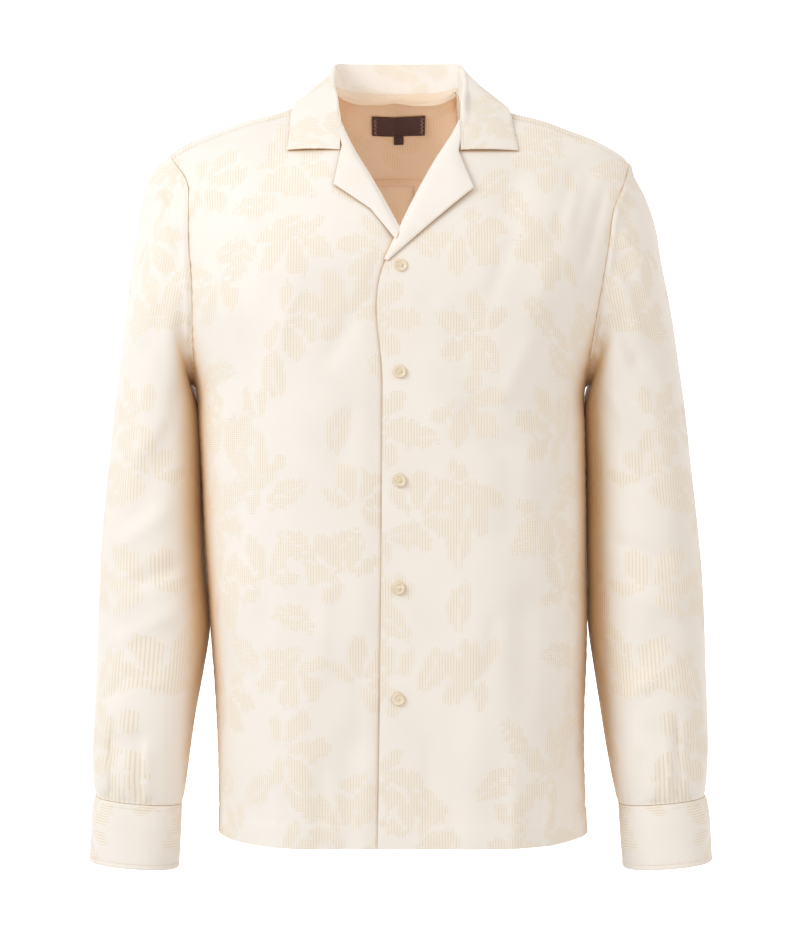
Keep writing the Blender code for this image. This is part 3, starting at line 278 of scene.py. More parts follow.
# Finer folds and puckers than the solids have, in the same terms as the main folds.
CREASES = table(
    "face x1 z1 x2 z2 width depth",
    (0, 200, -92, 176, -170, 6, -2.2), (0, 178, -70, 160, -130, 7, 1.6),
    (0, 60, -300, 96, -345, 9, -1.2), (0, 20, -196, 62, -250, 9, -1.0),
    (0, 128, -232, 96, -300, 9, 1.2), (0, 180, -300, 150, -390, 8, -1.6),
    (0, 172, -420, 150, -520, 8, 1.4), (0, 90, -500, 82, -560, 8, -1.1),
    (0, 150, -640, 142, -735, 7, 1.5), (0, 178, -600, 180, -735, 6, -1.6),
    (0, 108, -640, 110, -735, 8, 1.2), (0, 30, -620, 26, -700, 8, -1.0),
    (0, -36, -200, -70, -260, 9, -1.2), (0, -44, -300, -60, -360, 9, -1.0),
    (0, -180, -130, -152, -230, 7, 1.4), (0, -190, -100, -168, -200, 6, -1.8),
    (0, -120, -420, -132, -520, 9, -1.2), (0, -70, -470, -76, -560, 9, 1.1),
    (0, -28, -560, -30, -700, 6, 1.0), (0, -72, -640, -76, -735, 8, -1.2),
    (0, -120, -640, -118, -735, 8, 1.3), (0, -172, -560, -176, -700, 8, 1.4),
    (0, -100, -180, -130, -300, 10, 1.1), (0, 112, -130, 84, -200, 8, -1.0),
    (1, 30, -110, 44, -260, 9, -1.6), (1, -34, -120, -50, -270, 9, -1.5),
    (1, 100, -100, 112, -200, 9, 1.5), (1, -104, -104, -116, -210, 9, 1.4),
    (1, 170, -160, 150, -300, 9, -2.0), (1, -176, -150, -156, -290, 9, -1.9),
    (1, 20, -480, 14, -735, 10, 1.5), (1, 80, -560, 88, -735, 9, -1.8),
    (1, -84, -520, -80, -735, 9, -1.7), (1, -20, -600, -24, -735, 9, 1.4),
    (1, 148, -420, 158, -600, 10, 1.6), (1, -150, -430, -160, -610, 10, 1.5),
    (1, 60, -380, 100, -420, 8, -1.2), (1, -56, -340, -104, -390, 8, -1.1),
    (2, 214, -118, 244, -146, 5, -2.4), (2, 216, -128, 250, -162, 6, 1.6),
    (2, 212, -170, 236, -226, 6, 1.8), (2, 210, -210, 232, -262, 6, -2.2),
    (2, 226, -250, 262, -300, 8, -1.4), (2, 206, -286, 232, -340, 7, 1.6),
    (2, 236, -380, 280, -420, 9, 1.6), (2, 210, -430, 262, -450, 8, -1.8),
    (2, 226, -480, 280, -505, 9, 1.4), (2, 262, -520, 292, -560, 8, -1.6),
    (2, 218, -590, 250, -560, 7, 1.4), (2, 270, -600, 270, -684, 3.4, -2.0),
    (2, 262, -610, 263, -684, 4, 1.5), (2, 284, -630, 288, -684, 5, -1.2),
    (2, 236, -640, 232, -688, 5, -1.3), (2, 248, -640, 247, -688, 4, 1.0),
    (2, -232, -64, -218, -96, 4, 2.4), (2, -236, -72, -226, -100, 4, -3.0),
    (2, -244, -86, -214, -130, 5, 2.0), (2, -230, -108, -212, -150, 5, -2.2),
    (2, -254, -116, -234, -140, 6, -1.8), (2, -232, -180, -256, -240, 8, 1.4),
    (2, -206, -260, -232, -330, 8, -1.8), (2, -220, -300, -258, -352, 8, 1.4),
    (2, -226, -400, -282, -440, 9, 1.6), (2, -206, -450, -262, -474, 8, -1.7),
    (2, -216, -500, -280, -530, 9, 1.5), (2, -262, -560, -292, -590, 8, -1.5),
    (2, -282.5, -606, -282.5, -684, 3.4, -2.0), (2, -290, -610, -290, -684, 4, 1.4),
    (2, -255, -624, -255, -686, 4, -1.5), (2, -246, -624, -246, -686, 4, 1.2),
    (3, 222, -110, 248, -150, 7, -2.0), (3, 218, -220, 240, -290, 8, 1.8),
    (3, 212, -340, 262, -368, 8, -2.2), (3, 206, -384, 270, -386, 8, -2.4),
    (3, 214, -460, 276, -440, 9, 2.0), (3, 226, -520, 284, -500, 9, -1.8),
    (3, 240, -600, 246, -684, 5, -1.8), (3, 262, -610, 262, -684, 5, 1.4),
    (3, -228, -110, -252, -156, 7, -2.0), (3, -224, -230, -244, -300, 8, 1.7),
    (3, -216, -350, -266, -376, 8, -2.1), (3, -212, -396, -274, -396, 8, -2.3),
    (3, -220, -470, -280, -452, 9, 1.9), (3, -230, -530, -286, -512, 9, -1.7),
    (3, -244, -604, -250, -684, 5, -1.7), (3, -266, -612, -266, -684, 5, 1.3))
CREASES["depth"] *= CREASE_DEPTH
EVERY_FOLD = {name: np.concatenate([FOLDS[name], CREASES[name]]) for name in FOLDS}


def smooth(rows, column, at, key):
    """Read a table's column anywhere, on a smooth curve through its rows."""
    knots = rows[key]
    values = rows[column]
    slopes = np.gradient(values, knots)
    at = np.clip(at, knots[0], knots[-1])
    low = np.clip(np.searchsorted(knots, at) - 1, 0, len(knots) - 2)
    width = knots[low + 1] - knots[low]
    part = (at - knots[low]) / width
    rest = 1 - part
    ends = (1 + 2 * part) * rest ** 2 * values[low] + part ** 2 * (3 - 2 * part) * values[low + 1]
    return ends + part * rest * width * (rest * slopes[low] - part * slopes[low + 1])


def straight(rows, column, at, key):
    """Read a table's column anywhere, on straight lines between its rows."""
    return np.interp(at, rows[key], rows[column])


def ease(value):
    """Smooth step from 0 to 1."""
    value = np.clip(value, 0, 1)
    return value * value * (3 - 2 * value)


def unit(vectors):
    """Vectors of length one."""
    return vectors / np.maximum(np.linalg.norm(vectors, axis=-1, keepdims=True), 1e-9)


def read_at(place, places, path):
    """Point at some place along a path, on straight lines between its points."""
    return np.array([np.interp(place, places, path[:, k]) for k in range(3)])


def side_name(side):
    """Side 1 is the wearer's left and -1 the right."""
    return "left" if side > 0 else "right"


def lengths(path):
    """Length along a path at each of its points."""
    return np.concatenate([[0], np.cumsum(np.linalg.norm(np.diff(path, axis=0), axis=1))])


def points(x, y, z):
    """Stack three coordinate arrays into points."""
    return np.stack(np.broadcast_arrays(x, y, z), axis=-1).astype(float)


# The body's surface

def ridge_height(x, behind):
    """Height of the shoulder line over x."""
    out = np.abs(x - SHOULDER_CENTRE)
    return np.where(behind, smooth(RIDGE, "back", out, "out"), smooth(RIDGE, "front", out, "out"))


def half_width(side, z):
    """Half width of the body's section on one side."""
    return smooth(BODY, "right" if side > 0 else "left", z, "z")


def side_reach(x, z):
    """Distance from the centre line as a share of the half width at this height."""
    centre = smooth(BODY, "centre", z, "z")
    half = np.where(x > centre, half_width(1, z), half_width(-1, z))
    return np.clip(np.abs(x - centre) / half, 0, 1)


def full_depth(x, z, behind):
    """Depth of the body's section, before the shoulders slope in."""
    depth = np.where(behind, smooth(BODY, "back", z, "z"), smooth(BODY, "front", z, "z"))
    square = smooth(BODY, "square", z, "z")
    corner = smooth(BODY, "corner", z, "z")
    return depth * (1 - side_reach(x, z) ** square) ** (1 / corner)


def fill(run, behind):
    """Share of the full depth reached at a run from the shoulder line."""
    slope = np.where(behind, BACK_SLOPE, FRONT_SLOPE)
    return 1 - (1 - np.clip(np.abs(run) / slope, 0, 1)) ** SLOPE_POWER


def fold_depth(face, x, z):
    """Height of the folds of one face at points seen from the front."""
    total = np.zeros(np.broadcast(x, z).shape)
    for row in np.flatnonzero(EVERY_FOLD["face"] == face):
        fold = {name: column[row] for name, column in EVERY_FOLD.items()}
        run_x = fold["x2"] - fold["x1"]
        run_z = fold["z2"] - fold["z1"]
        length = math.hypot(run_x, run_z)
        part = ((x - fold["x1"]) * run_x + (z - fold["z1"]) * run_z) / length ** 2
        away = ((x - fold["x1"]) * run_z - (z - fold["z1"]) * run_x) / length
        ends = ease(part * 3 + 0.5) * ease((1 - part) * 3 + 0.5)
        total = total + fold["depth"] * np.exp(-(away / fold["width"]) ** 2) * ends
    return total


def seam_fade(x, z):
    """Folds fade to nothing at the side seams, armholes and shoulder seams."""
    at_side = ease((1 - side_reach(x, z)) * 6)
    armhole = np.where(x > 0, armhole_x(1, z, False), -armhole_x(-1, z, False))
    at_armhole = np.where(z > ARMPIT_Z, ease((armhole - np.abs(x)) / 22), 1.0)
    at_shoulder = ease((ridge_height(x, False) - z - 8) / 25)
    return at_side * at_armhole * at_shoulder


def pleat_middle(z):
    """X of the back pleat's middle line."""
    return SHOULDER_CENTRE * ease((z + 600) / 500)


def pleat_height(x, z):
    """The back box pleat: a flat band, proud of the back, that fades downwards."""
    away = np.abs(x - pleat_middle(z))
    band = ease((PLEAT_HALF + PLEAT_EDGE - away) / PLEAT_EDGE)
    return PLEAT_PROUD * band * ease((z - PLEAT_FADE_Z) / 250)


def body_y(x, z, behind, folded=True):
    """Y of the body's outer surface at a point seen from the front."""
    drop = np.maximum(ridge_height(x, behind) - z, 0)
    run = np.sqrt(drop ** 2 + 2 * RIDGE_RADIUS * drop)
    depth = full_depth(x, z, behind) * fill(run, behind)
    if folded:
        under_yoke = ease((yoke_seam_z(x) - z) / 40)
        back = fold_depth(1, x, z) * under_yoke + pleat_height(x, z)
        depth = depth + np.where(behind, back, fold_depth(0, x, z)) * seam_fade(x, z)
    return np.where(behind, depth, -depth)


def body_normal(x, z, behind):
    """Outward direction of the body's surface."""
    step = 0.6
    slope_x = (body_y(x + step, z, behind, False) - body_y(x - step, z, behind, False)) / (2 * step)
    slope_z = (body_y(x, z + step, behind, False) - body_y(x, z - step, behind, False)) / (2 * step)
    sign = np.where(behind, 1.0, -1.0)
    normal = unit(points(-sign * slope_x, sign, -sign * slope_z))
    at_seam = (side_reach(x, z) > 0.996)[..., None]
    side = points(np.sign(x), 0 * x, 0 * x)
    return np.where(at_seam, side, normal)


def over_shoulder(x, run):
    """Points over the shoulder line: run is negative in front of it and positive behind."""
    behind = run > 0
    drop = np.sqrt(run ** 2 + RIDGE_RADIUS ** 2) - RIDGE_RADIUS
    z = ridge_height(x, behind) - drop
    y = np.sign(run) * full_depth(x, z, behind) * fill(run, behind)
    return points(x, y, z)


def over_shoulder_normal(x, run):
    """Outward direction over the shoulder line."""
    step = 0.6
    across = over_shoulder(x + step, run) - over_shoulder(x - step, run)
    along = over_shoulder(x, run + step) - over_shoulder(x, run - step)
    return unit(np.cross(across, along))


def run_behind(x, z):
    """Run from the shoulder line at which the back's surface has height z."""
    drop = np.maximum(ridge_height(x, True) - z, 0)
    return np.sqrt(drop ** 2 + 2 * RIDGE_RADIUS * drop)


def height_over(x, y):
    """Height of the body's surface over a place (x, y) on the shoulders."""
    behind = y > 0
    z = np.zeros(np.broadcast(x, y).shape)
    for _ in range(12):
        share = np.clip(np.abs(y) / full_depth(x, z, behind), 0, 0.98)
        slope = np.where(behind, BACK_SLOPE, FRONT_SLOPE)
        run = slope * (1 - (1 - share) ** (1 / SLOPE_POWER))
        z = ridge_height(x, behind) - np.sqrt(run ** 2 + RIDGE_RADIUS ** 2) + RIDGE_RADIUS
    return z


def yoke_seam_z(x):
    """Height of the seam between yoke and back."""
    return YOKE_Z - YOKE_DROP * ((x - SHOULDER_CENTRE) / ARMHOLE_REACH) ** 2


# The armhole, shared by the body and the sleeve

def armhole_heights(top):
    """Heights along an armhole edge, close together at the armpit's round."""
    part = np.linspace(0, 1, ARMHOLE_ROWS + 1)
    return ARMPIT_Z + (top - ARMPIT_Z) * (1 - np.cos(part * math.pi / 2))


def armhole_x(side, z, behind):
    """X of the armhole edge."""
    return side * smooth(ARMHOLE, ("back_" if behind else "front_") + side_name(side), z, "z")


def armhole_over(side, run):
    """X of the armhole where it passes over the shoulder."""
    x = np.full(np.shape(run), side * 228.0)
    for _ in range(8):
        z = over_shoulder(x, run)[..., 2]
        blend = ease((run + 16) / 60)
        x = armhole_x(side, z, False) * (1 - blend) + armhole_x(side, z, True) * blend
    return x


def shoulder_runs(side):
    """Runs of the yoke's rows at the armhole, from the front seam to the back seam."""
    last = 55.0
    for _ in range(12):
        x = armhole_over(side, np.array([last]))
        last = float(run_behind(x, yoke_seam_z(x))[0])
    part = np.linspace(0, 1, YOKE_ROWS + 1)
    return SHOULDER_SEAM_RUN + (last - SHOULDER_SEAM_RUN) * part


def armhole_loop(side):
    """The armhole from the armpit up the front, over the shoulder and down the back."""
    runs = shoulder_runs(side)
    top_x = armhole_over(side, runs)
    top = over_shoulder(top_x, runs)
    top_normal = over_shoulder_normal(top_x, runs)
    front_z = armhole_heights(top[0, 2])[:-1]
    front_x = armhole_x(side, front_z, False)
    back_z = armhole_heights(top[-1, 2])[1:-1][::-1]
    back_x = armhole_x(side, back_z, True)
    front = points(front_x, body_y(front_x, front_z, False), front_z)
    back = points(back_x, body_y(back_x, back_z, True), back_z)
    front[0, 1] = 0
    loop = np.vstack([front, top, back])
    front_normal = body_normal(front_x, front_z, False)
    return loop, np.vstack([front_normal, top_normal, body_normal(back_x, back_z, True)])


HEM_DEPTH = 26.0         # turned up hem
HEM_STEP = 0.5           # how far its second layer stands out
PUCKER = 0.30            # height of the small waves beside a sewn line
PUCKER_REACH = 7.0
SEAM_DIP = 0.7           # cloth pulled in along a seam
SEAM_DIP_REACH = 3.0

# Weave: columns of small loops inside leaf shapes, in millimetres of cloth
COLUMN_PITCH = 2.7
LOOP_PITCH = 1.9
COLUMN_STEP = 7.5        # most that one column's ends stand above or below the next one's
FAN_REPEAT = 82.0        # spacing of the fan leaves
FAN_RADIUS = 42.0
FAN_LEAFLETS = 7
LEAF_REPEAT = 58.0       # spacing of the single leaves
LEAF_LENGTH = 26.0
LEAF_WIDTH = 12.0

SHADE_REACH = 0.045      # metres within which other cloth shades it
SHADE_TINT = (0.80, 0.60, 0.38, 1.0)
# Painted shade over the inside faces: within this reach they turn towards this warm tan tint.
INSIDE_SHADE_REACH = 0.22
INSIDE_SHADE_TINT = (0.80, 0.56, 0.36, 1.0)
SHADE_SAMPLES = 6

STITCH_LENGTH = 2.3
STITCH_PITCH = 3.1
STITCH_WIDTH = 0.42

CAMERA_DISTANCE = 2.4
CAMERA_HEIGHT = -0.358
HALF_VIEW_HEIGHT = 0.4665    # of what the camera sees at the origin's depth
FLOOR_HEIGHT = -0.97


def waves(along, away, height=PUCKER, pitch=11.0):
    """Small uneven puckers along a sewn line, dying out away from it."""
    phase = 2 * math.pi * along / pitch + 1.4 * np.sin(along / 17.0) + 0.8 * np.sin(along / 5.3)
    return height * np.sin(phase) * np.exp(-(away / PUCKER_REACH) ** 2)


def seam_dip(away):
    """Cloth drawn in along a seam."""
    return -SEAM_DIP * np.exp(-(away / SEAM_DIP_REACH) ** 2)


def drift(x, z, seed):
    """Broad, faint unevenness of hanging cloth."""
    first = np.sin(x / 31 + 1.7 * seed) * np.sin(z / 57 + 0.9 * seed + x / 83)
    second = np.sin(x / 17 - z / 44 + 2.3 * seed) * np.sin(z / 29 + 0.4 * seed)
    return 0.55 * first + 0.28 * second


def body_relief(x, z, side, behind):
    """Hem, puckers and seams of a body panel, as heights over its form."""
    from_hem = z - (HEM_Z + HEM_DEPTH)
    hem = HEM_STEP * ease(0.5 - from_hem / 1.6) + waves(x, from_hem)
    line = -0.45 * np.exp(-((from_hem + 1.2) / 1.3) ** 2)
    in_armhole = ease((z - ARMPIT_Z) / 25)
    from_armhole = np.abs(armhole_x(side, z, behind)) - np.abs(x)
    arm = in_armhole * (waves(z, from_armhole, 0.35, 13) + seam_dip(from_armhole))
    centre = smooth(BODY, "centre", z, "z")
    from_side = (half_width(side, z) - np.abs(x - centre)) * 2.0
    side_seam = (1 - in_armhole) * waves(z, from_side, 0.25, 15)
    return hem + line + arm + side_seam


# Turning point grids into cloth

def placed(name, data):
    """A new object in the scene."""
    holder = bpy.data.objects.new(name, data)
    bpy.context.scene.collection.objects.link(holder)
    return holder


def link(name, verts, faces, slots, materials, uv=None):
    """A smooth mesh object from points in millimetres."""
    mesh = bpy.data.meshes.new(name)
    mesh.from_pydata((np.asarray(verts) * MM).tolist(), [], faces)
    for material in materials:
        mesh.materials.append(material)
    mesh.polygons.foreach_set("material_index", slots)
    if uv is not None:
        corners = np.zeros(len(mesh.loops), dtype=np.int64)
        mesh.loops.foreach_get("vertex_index", corners)
        layer = mesh.uv_layers.new(name="cloth")
        layer.data.foreach_set("uv", uv[corners].astype(np.float32).ravel())
    mesh.shade_smooth()
    mesh.set_sharp_from_angle(angle=math.radians(55))
    piece = placed(name, mesh)
    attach(piece, "root")
    return piece


def shell(name, outer, inner, uv, materials):
    """A closed wall of cloth between two grids: its outside, its inside and its rim."""
    rows, cols = outer.shape[:2]
    verts = np.concatenate([outer.reshape(-1, 3), inner.reshape(-1, 3)])
    count = rows * cols
    index = np.arange(count).reshape(rows, cols)
    a, b = index[:-1, :-1].ravel(), index[:-1, 1:].ravel()
    c, d = index[1:, 1:].ravel(), index[1:, :-1].ravel()
    across, down = verts[b] - verts[a], verts[d] - verts[a]
    outward = verts[a] - verts[a + count]
    if np.sum(np.cross(across, down) * outward) < 0:
        b, d = d, b
    faces = np.stack([a, b, c, d], axis=1).tolist()
    faces += np.stack([d + count, c + count, b + count, a + count], axis=1).tolist()
    slots = [0] * len(a) + [1] * len(a)
    rim = np.concatenate([index[0, :-1], index[:-1, -1], index[-1, :0:-1], index[:0:-1, 0]])
    after = np.roll(rim, -1)
    ring = np.stack([rim, rim + count, after + count, after], axis=1)
    first_turn = [a[0], b[0]] == [index[0, 0], index[0, 1]]
    faces += (ring if first_turn else ring[:, ::-1]).tolist()
    slots += [0] * len(rim)
    flat = uv.reshape(-1, 2)
    return link(name, verts, faces, slots, materials, np.concatenate([flat, flat]))


def dressed(name, outer, inner, uv, materials, made_of="cloth_"):
    """A shell that takes the place of the solid of this name."""
    piece = shell(made_of + name, outer, inner, uv, materials)
    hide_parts(name)
    return piece


def cloth_uv(grid, start_u=None, weigh_across=(1, 1, 1), weigh_along=(1, 1, 1)):
    """Cloth coordinates of a grid in millimetres: across the rows and along the columns."""
    across = np.linalg.norm(np.diff(grid, axis=1) * weigh_across, axis=2)
    along = np.linalg.norm(np.diff(grid, axis=0) * weigh_along, axis=2)
    u = np.concatenate([np.zeros((len(grid), 1)), np.cumsum(across, axis=1)], axis=1)
    v = np.concatenate([np.zeros((1, grid.shape[1])), np.cumsum(along, axis=0)], axis=0)
    if start_u is not None:
        u = u + np.asarray(start_u)[:, None]
    return np.stack([u, v], axis=-1)


def pulled_in(grid, edges, gap=PIECE_GAP):
    """A grid whose named edges stop short by half the gap between pieces."""
    grid = grid.copy()
    views = {
        "first_row": (grid[0], grid[1]), "last_row": (grid[-1], grid[-2]),
        "first_col": (grid[:, 0], grid[:, 1]), "last_col": (grid[:, -1], grid[:, -2])}
    for edge in edges:
        border, inside = views[edge]
        along = unit(np.gradient(border, axis=0))
        inward = inside - border
        inward = inward - along * np.sum(inward * along, axis=1, keepdims=True)
        border += unit(inward) * gap / 2
    return grid


def moved(grid, normals, heights):
    """A grid moved along its normals."""
    return grid + normals * np.asarray(heights)[..., None]


# The body's pieces

def body_rows(edge_top):
    """Heights of a panel's rows at its side and at its inner edge."""
    hem = HEM_Z + np.array([0, 8, 16, HEM_DEPTH - 3.5, HEM_DEPTH - 2, HEM_DEPTH - 1,
                            HEM_DEPTH, HEM_DEPTH + 1, HEM_DEPTH + 3, HEM_DEPTH + 8])
    rest = np.linspace(HEM_Z + HEM_DEPTH + 14, ARMPIT_Z, BODY_ROWS + 1 - len(hem))
    lower = np.concatenate([hem, rest])
    part = np.linspace(0, 1, ARMHOLE_ROWS + 1)[1:]
    inner = ARMPIT_Z + (edge_top - ARMPIT_Z) * (0.35 * (1 - np.cos(part * math.pi / 2)) + 0.65 * part)
    return lower, inner


def side_edge(side, behind, lower, top_z):
    """Places (x, z) up a panel's side: the side seam from the hem, then the armhole."""
    upper = armhole_heights(top_z)[1:]
    seam_x = smooth(BODY, "centre", lower, "z") + side * half_width(side, lower)
    return np.concatenate([seam_x, armhole_x(side, upper, behind)]), np.concatenate([lower, upper])


def column_spread(part, inner_z):
    """Where a panel's columns lie: closer together at the side seam, evenly higher up."""
    rise = ease((inner_z - ARMPIT_Z) / SPREAD_RISE)[:, None]
    return np.sin(part * math.pi / 2) * (1 - rise) + part * rise


def top_lift(inner_z, top_z):
    """Share of a panel's upper edge's bow that each row takes."""
    return (np.clip((inner_z - ARMPIT_Z) / (top_z - ARMPIT_Z), 0, 1) ** LIFT_POWER)[:, None]


def front_grid(side):
    """Front view places (x, z) of one front's points, hem to shoulder, edge to side."""
    edge = LEFT_EDGE if side > 0 else RIGHT_EDGE
    seam_end = over_shoulder(armhole_over(side, np.array([SHOULDER_SEAM_RUN])), SHOULDER_SEAM_RUN)[0]
    neck_x = NECK_CENTRE + side * NECK["out"][-1]
    neck_z = float(over_shoulder(np.array([neck_x]), np.array([SHOULDER_SEAM_RUN]))[0, 2])
    lower, upper = body_rows(neck_z)
    side_x, outer_z = side_edge(side, False, lower, seam_end[2])
    inner_z = np.concatenate([lower, upper])
    inner_x = smooth(edge, "x", inner_z, "z")
    part = np.linspace(0, 1, FRONT_COLUMNS + 1)[None, :]
    x = inner_x[:, None] + (side_x - inner_x)[:, None] * column_spread(part, inner_z)
    z = inner_z[:, None] + (outer_z - inner_z)[:, None] * part
    seam_z = over_shoulder(x[-1], np.full(x.shape[1], SHOULDER_SEAM_RUN))[:, 2]
    return x, z + (seam_z - z[-1]) * top_lift(inner_z, neck_z)


def upright_uv(grid, start_u):
    """Cloth coordinates of a body panel, with the cloth's columns upright all over it."""
    return cloth_uv(grid, start_u, weigh_across=(1, 1, 0), weigh_along=(0.3, 1, 1))


def under_lap(x, z):
    """How far the right front steps in where the left front covers it."""
    top_edge = smooth(LEFT_EDGE, "x", z, "z")
    return LAP * ease((x - top_edge + LAP_BLEND) / LAP_BLEND)


def front_panel(side, materials):
    """One front, from its hem to the shoulder seam and from its edge to the side."""
    x, z = front_grid(side)
    y = body_y(x, z, False)
    y[: BODY_ROWS + 1, -1] = 0
    if side < 0:
        y = y + under_lap(x, z)
    normal = body_normal(x, z, False)
    edge = smooth(LEFT_EDGE if side > 0 else RIGHT_EDGE, "x", z, "z")
    from_edge = side * (x - edge)
    heights = body_relief(x, z, side, False) + drift(x, z, 1.0 + side)
    heights += waves(z, from_edge - 4, 0.22, 17) * ease(-(z + 150) / 30)
    from_seam = over_shoulder(x, np.full(x.shape, SHOULDER_SEAM_RUN))[..., 2] - z
    at_rim = ease((from_seam + 1) / 12) * ease((from_edge + 2) / 9)
    heights = heights * at_rim + seam_dip(from_seam)
    grid = pulled_in(moved(points(x, y, z), normal, heights), ("last_row", "last_col"))
    uv = upright_uv(grid, side * x[:, 0] + (0 if side > 0 else RIGHT_CLOTH_START))
    return dressed("front_" + side_name(side), grid, grid - normal * CLOTH, uv, materials)


def back_panel(materials):
    """The back, from its hem to the yoke seam, with a box pleat in the middle."""
    halves = []
    for side in (-1, 1):
        runs = shoulder_runs(side)
        end = over_shoulder(armhole_over(side, runs[-1:]), runs[-1:])[0]
        lower, upper = body_rows(YOKE_Z)
        side_x, outer_z = side_edge(side, True, lower, end[2])
        inner_z = np.concatenate([lower, upper])
        middle = pleat_middle(inner_z)
        spread = column_spread(np.linspace(0, 1, BACK_COLUMNS + 1), inner_z)
        pleat = np.array([0.5, 1]) * PLEAT_HALF
        edge = PLEAT_HALF + np.array([0.3, 0.55, 0.8]) * PLEAT_EDGE
        band = middle[:, None] + side * np.concatenate([pleat, edge])[None, :]
        pleat_end = middle + side * (PLEAT_HALF + PLEAT_EDGE)
        x = np.concatenate([band, pleat_end[:, None] + (side_x - pleat_end)[:, None] * spread], axis=1)
        if side > 0:
            x = np.concatenate([middle[:, None], x], axis=1)
        reach = (x - middle[:, None]) / (side_x - middle)[:, None]
        z = inner_z[:, None] + (outer_z - inner_z)[:, None] * reach
        z = z + (yoke_seam_z(x[-1]) - z[-1]) * top_lift(inner_z, YOKE_Z)
        y = body_y(x, z, True)
        y[: BODY_ROWS + 1, -1] = 0
        normal = body_normal(x, z, True)
        from_seam = yoke_seam_z(x) - z
        heights = (body_relief(x, z, side, True) + drift(x, z, 4.0)) * ease((from_seam + 1) / 14)
        heights += waves(x, from_seam, 0.3, 13) * ease(from_seam / 3) + seam_dip(from_seam)
        heights -= 0.7 * pleat_height(x, z) * np.exp(-(from_seam / 9) ** 2)
        grid = moved(points(x, y, z), normal, heights)
        halves.append([rows[:, ::side] for rows in (grid, normal)])
    grid, normal = (np.concatenate([halves[0][k], halves[1][k]], axis=1) for k in (0, 1))
    grid = pulled_in(pulled_in(grid, ("first_col", "last_col")), ("last_row",), YOKE_SEAM_GAP)
    uv = upright_uv(grid, np.zeros(len(grid)))
    uv[..., 0] -= uv[:, grid.shape[1] // 2, 0][:, None]
    return dressed("back", grid, grid - normal * CLOTH, uv, materials)


def yoke_grid():
    """Places (x, run) of the yoke's upper edge, and x of its lower one."""
    upper_x, upper_run, lower_x = [], [], []
    for side in (-1, 1):
        runs = shoulder_runs(side)
        top = front_grid(side)[0][-1][::-1]
        ends = armhole_over(side, runs[-1:])[0]
        neck_x = top[-1]
        low = ends + (neck_x * 0.92 - ends) * np.linspace(0, 1, len(top))
        steps = np.linspace(NECK["step"][-1], 0, NECK_COLUMNS + 1)[1:]
        neck_out = smooth(NECK, "out", steps, "step")
        top = np.concatenate([top, NECK_CENTRE + side * neck_out])
        run = np.concatenate([np.full(len(low), SHOULDER_SEAM_RUN), smooth(NECK, "run", steps, "step")])
        under_neck = np.linspace(0, 1, NECK_COLUMNS + 1)[1:]
        low = np.concatenate([low, low[-1] + (NECK_CENTRE - low[-1]) * under_neck])
        if side > 0:
            top, run, low = top[:-1][::-1], run[:-1][::-1], low[:-1][::-1]
        upper_x.append(top)
        upper_run.append(run)
        lower_x.append(low)
    return [np.concatenate(parts) for parts in (upper_x, upper_run, lower_x)]


def yoke_places(rows):
    """Grid of (x, run) over the yoke, with the armhole's own points at both ends."""
    top_x, top_run, low_x = yoke_grid()
    low_run = run_behind(low_x, yoke_seam_z(low_x))
    part = np.linspace(0, 1, rows + 1)[:, None]
    x = top_x + (low_x - top_x) * part
    run = top_run + (low_run - top_run) * part
    for col, side in ((0, -1), (-1, 1)):
        last = shoulder_runs(side)[-1]
        edge = SHOULDER_SEAM_RUN + (last - SHOULDER_SEAM_RUN) * part[:, 0]
        run[:, col] = edge
        x[:, col] = armhole_over(side, edge)
    return x, run


def yoke_panel(materials):
    """The yoke, from the front shoulder seams over the shoulders to the back."""
    x, run = yoke_places(YOKE_ROWS)
    normal = over_shoulder_normal(x, run)
    part = np.linspace(0, 1, YOKE_ROWS + 1)[:, None]
    at_rim = ease(part * 5) * ease((1 - part) * 6)
    from_armhole = np.minimum(np.abs(x - x[:, :1]), np.abs(x - x[:, -1:]))
    heights = (drift(x, run * 2, 7.0) * 0.6 + waves(x, run - SHOULDER_SEAM_RUN, 0.25, 14)) * at_rim
    heights = heights + seam_dip(from_armhole) * at_rim
    heights = heights + seam_dip(run - SHOULDER_SEAM_RUN) + seam_dip(run - run[-1:])
    grid = moved(over_shoulder(x, run), normal, heights)
    grid = pulled_in(grid, ("first_row", "first_col", "last_col"))
    grid = pulled_in(grid, ("last_row",), YOKE_SEAM_GAP)
    uv = np.stack([x, run], axis=-1)
    return dressed("yoke", grid, grid - normal * CLOTH, uv, materials)


# Sleeves and cuffs

def ring(rows, side, step, angle):
    """Points of a tube: angle 0 faces the body, a quarter the front, half the outside."""
    out_x = side * smooth(rows, "out_" + side_name(side), step, "step")
    in_x = side * smooth(rows, "in_" + side_name(side), step, "step")
    out_z = smooth(rows, "out_z", step, "step")
    in_z = smooth(rows, "in_z", step, "step")
    across = np.sign(np.cos(angle)) * np.abs(np.cos(angle)) ** (2 / SLEEVE_SQUARE)
    deep = np.abs(np.sin(angle)) ** (2 / SLEEVE_SQUARE)
    front = smooth(rows, "front", step, "step")
    back = smooth(rows, "back", step, "step")
    x = (out_x + in_x) / 2 - (out_x - in_x) / 2 * across
    z = (out_z + in_z) / 2 - (out_z - in_z) / 2 * across
    y = smooth(rows, "middle", step, "step") + np.where(np.sin(angle) > 0, -front, back) * deep
    return points(x, y, z)


def loop_angles(loop, top_index):
    """Angle of each armhole point, by its share of the way round."""
    closed = np.vstack([loop, loop[:1]])
    length = lengths(closed)
    front = length[top_index]
    angle = np.where(length <= front, math.pi * length / front,
                     math.pi + math.pi * (length - front) / (length[-1] - front))
    return angle[:-1]


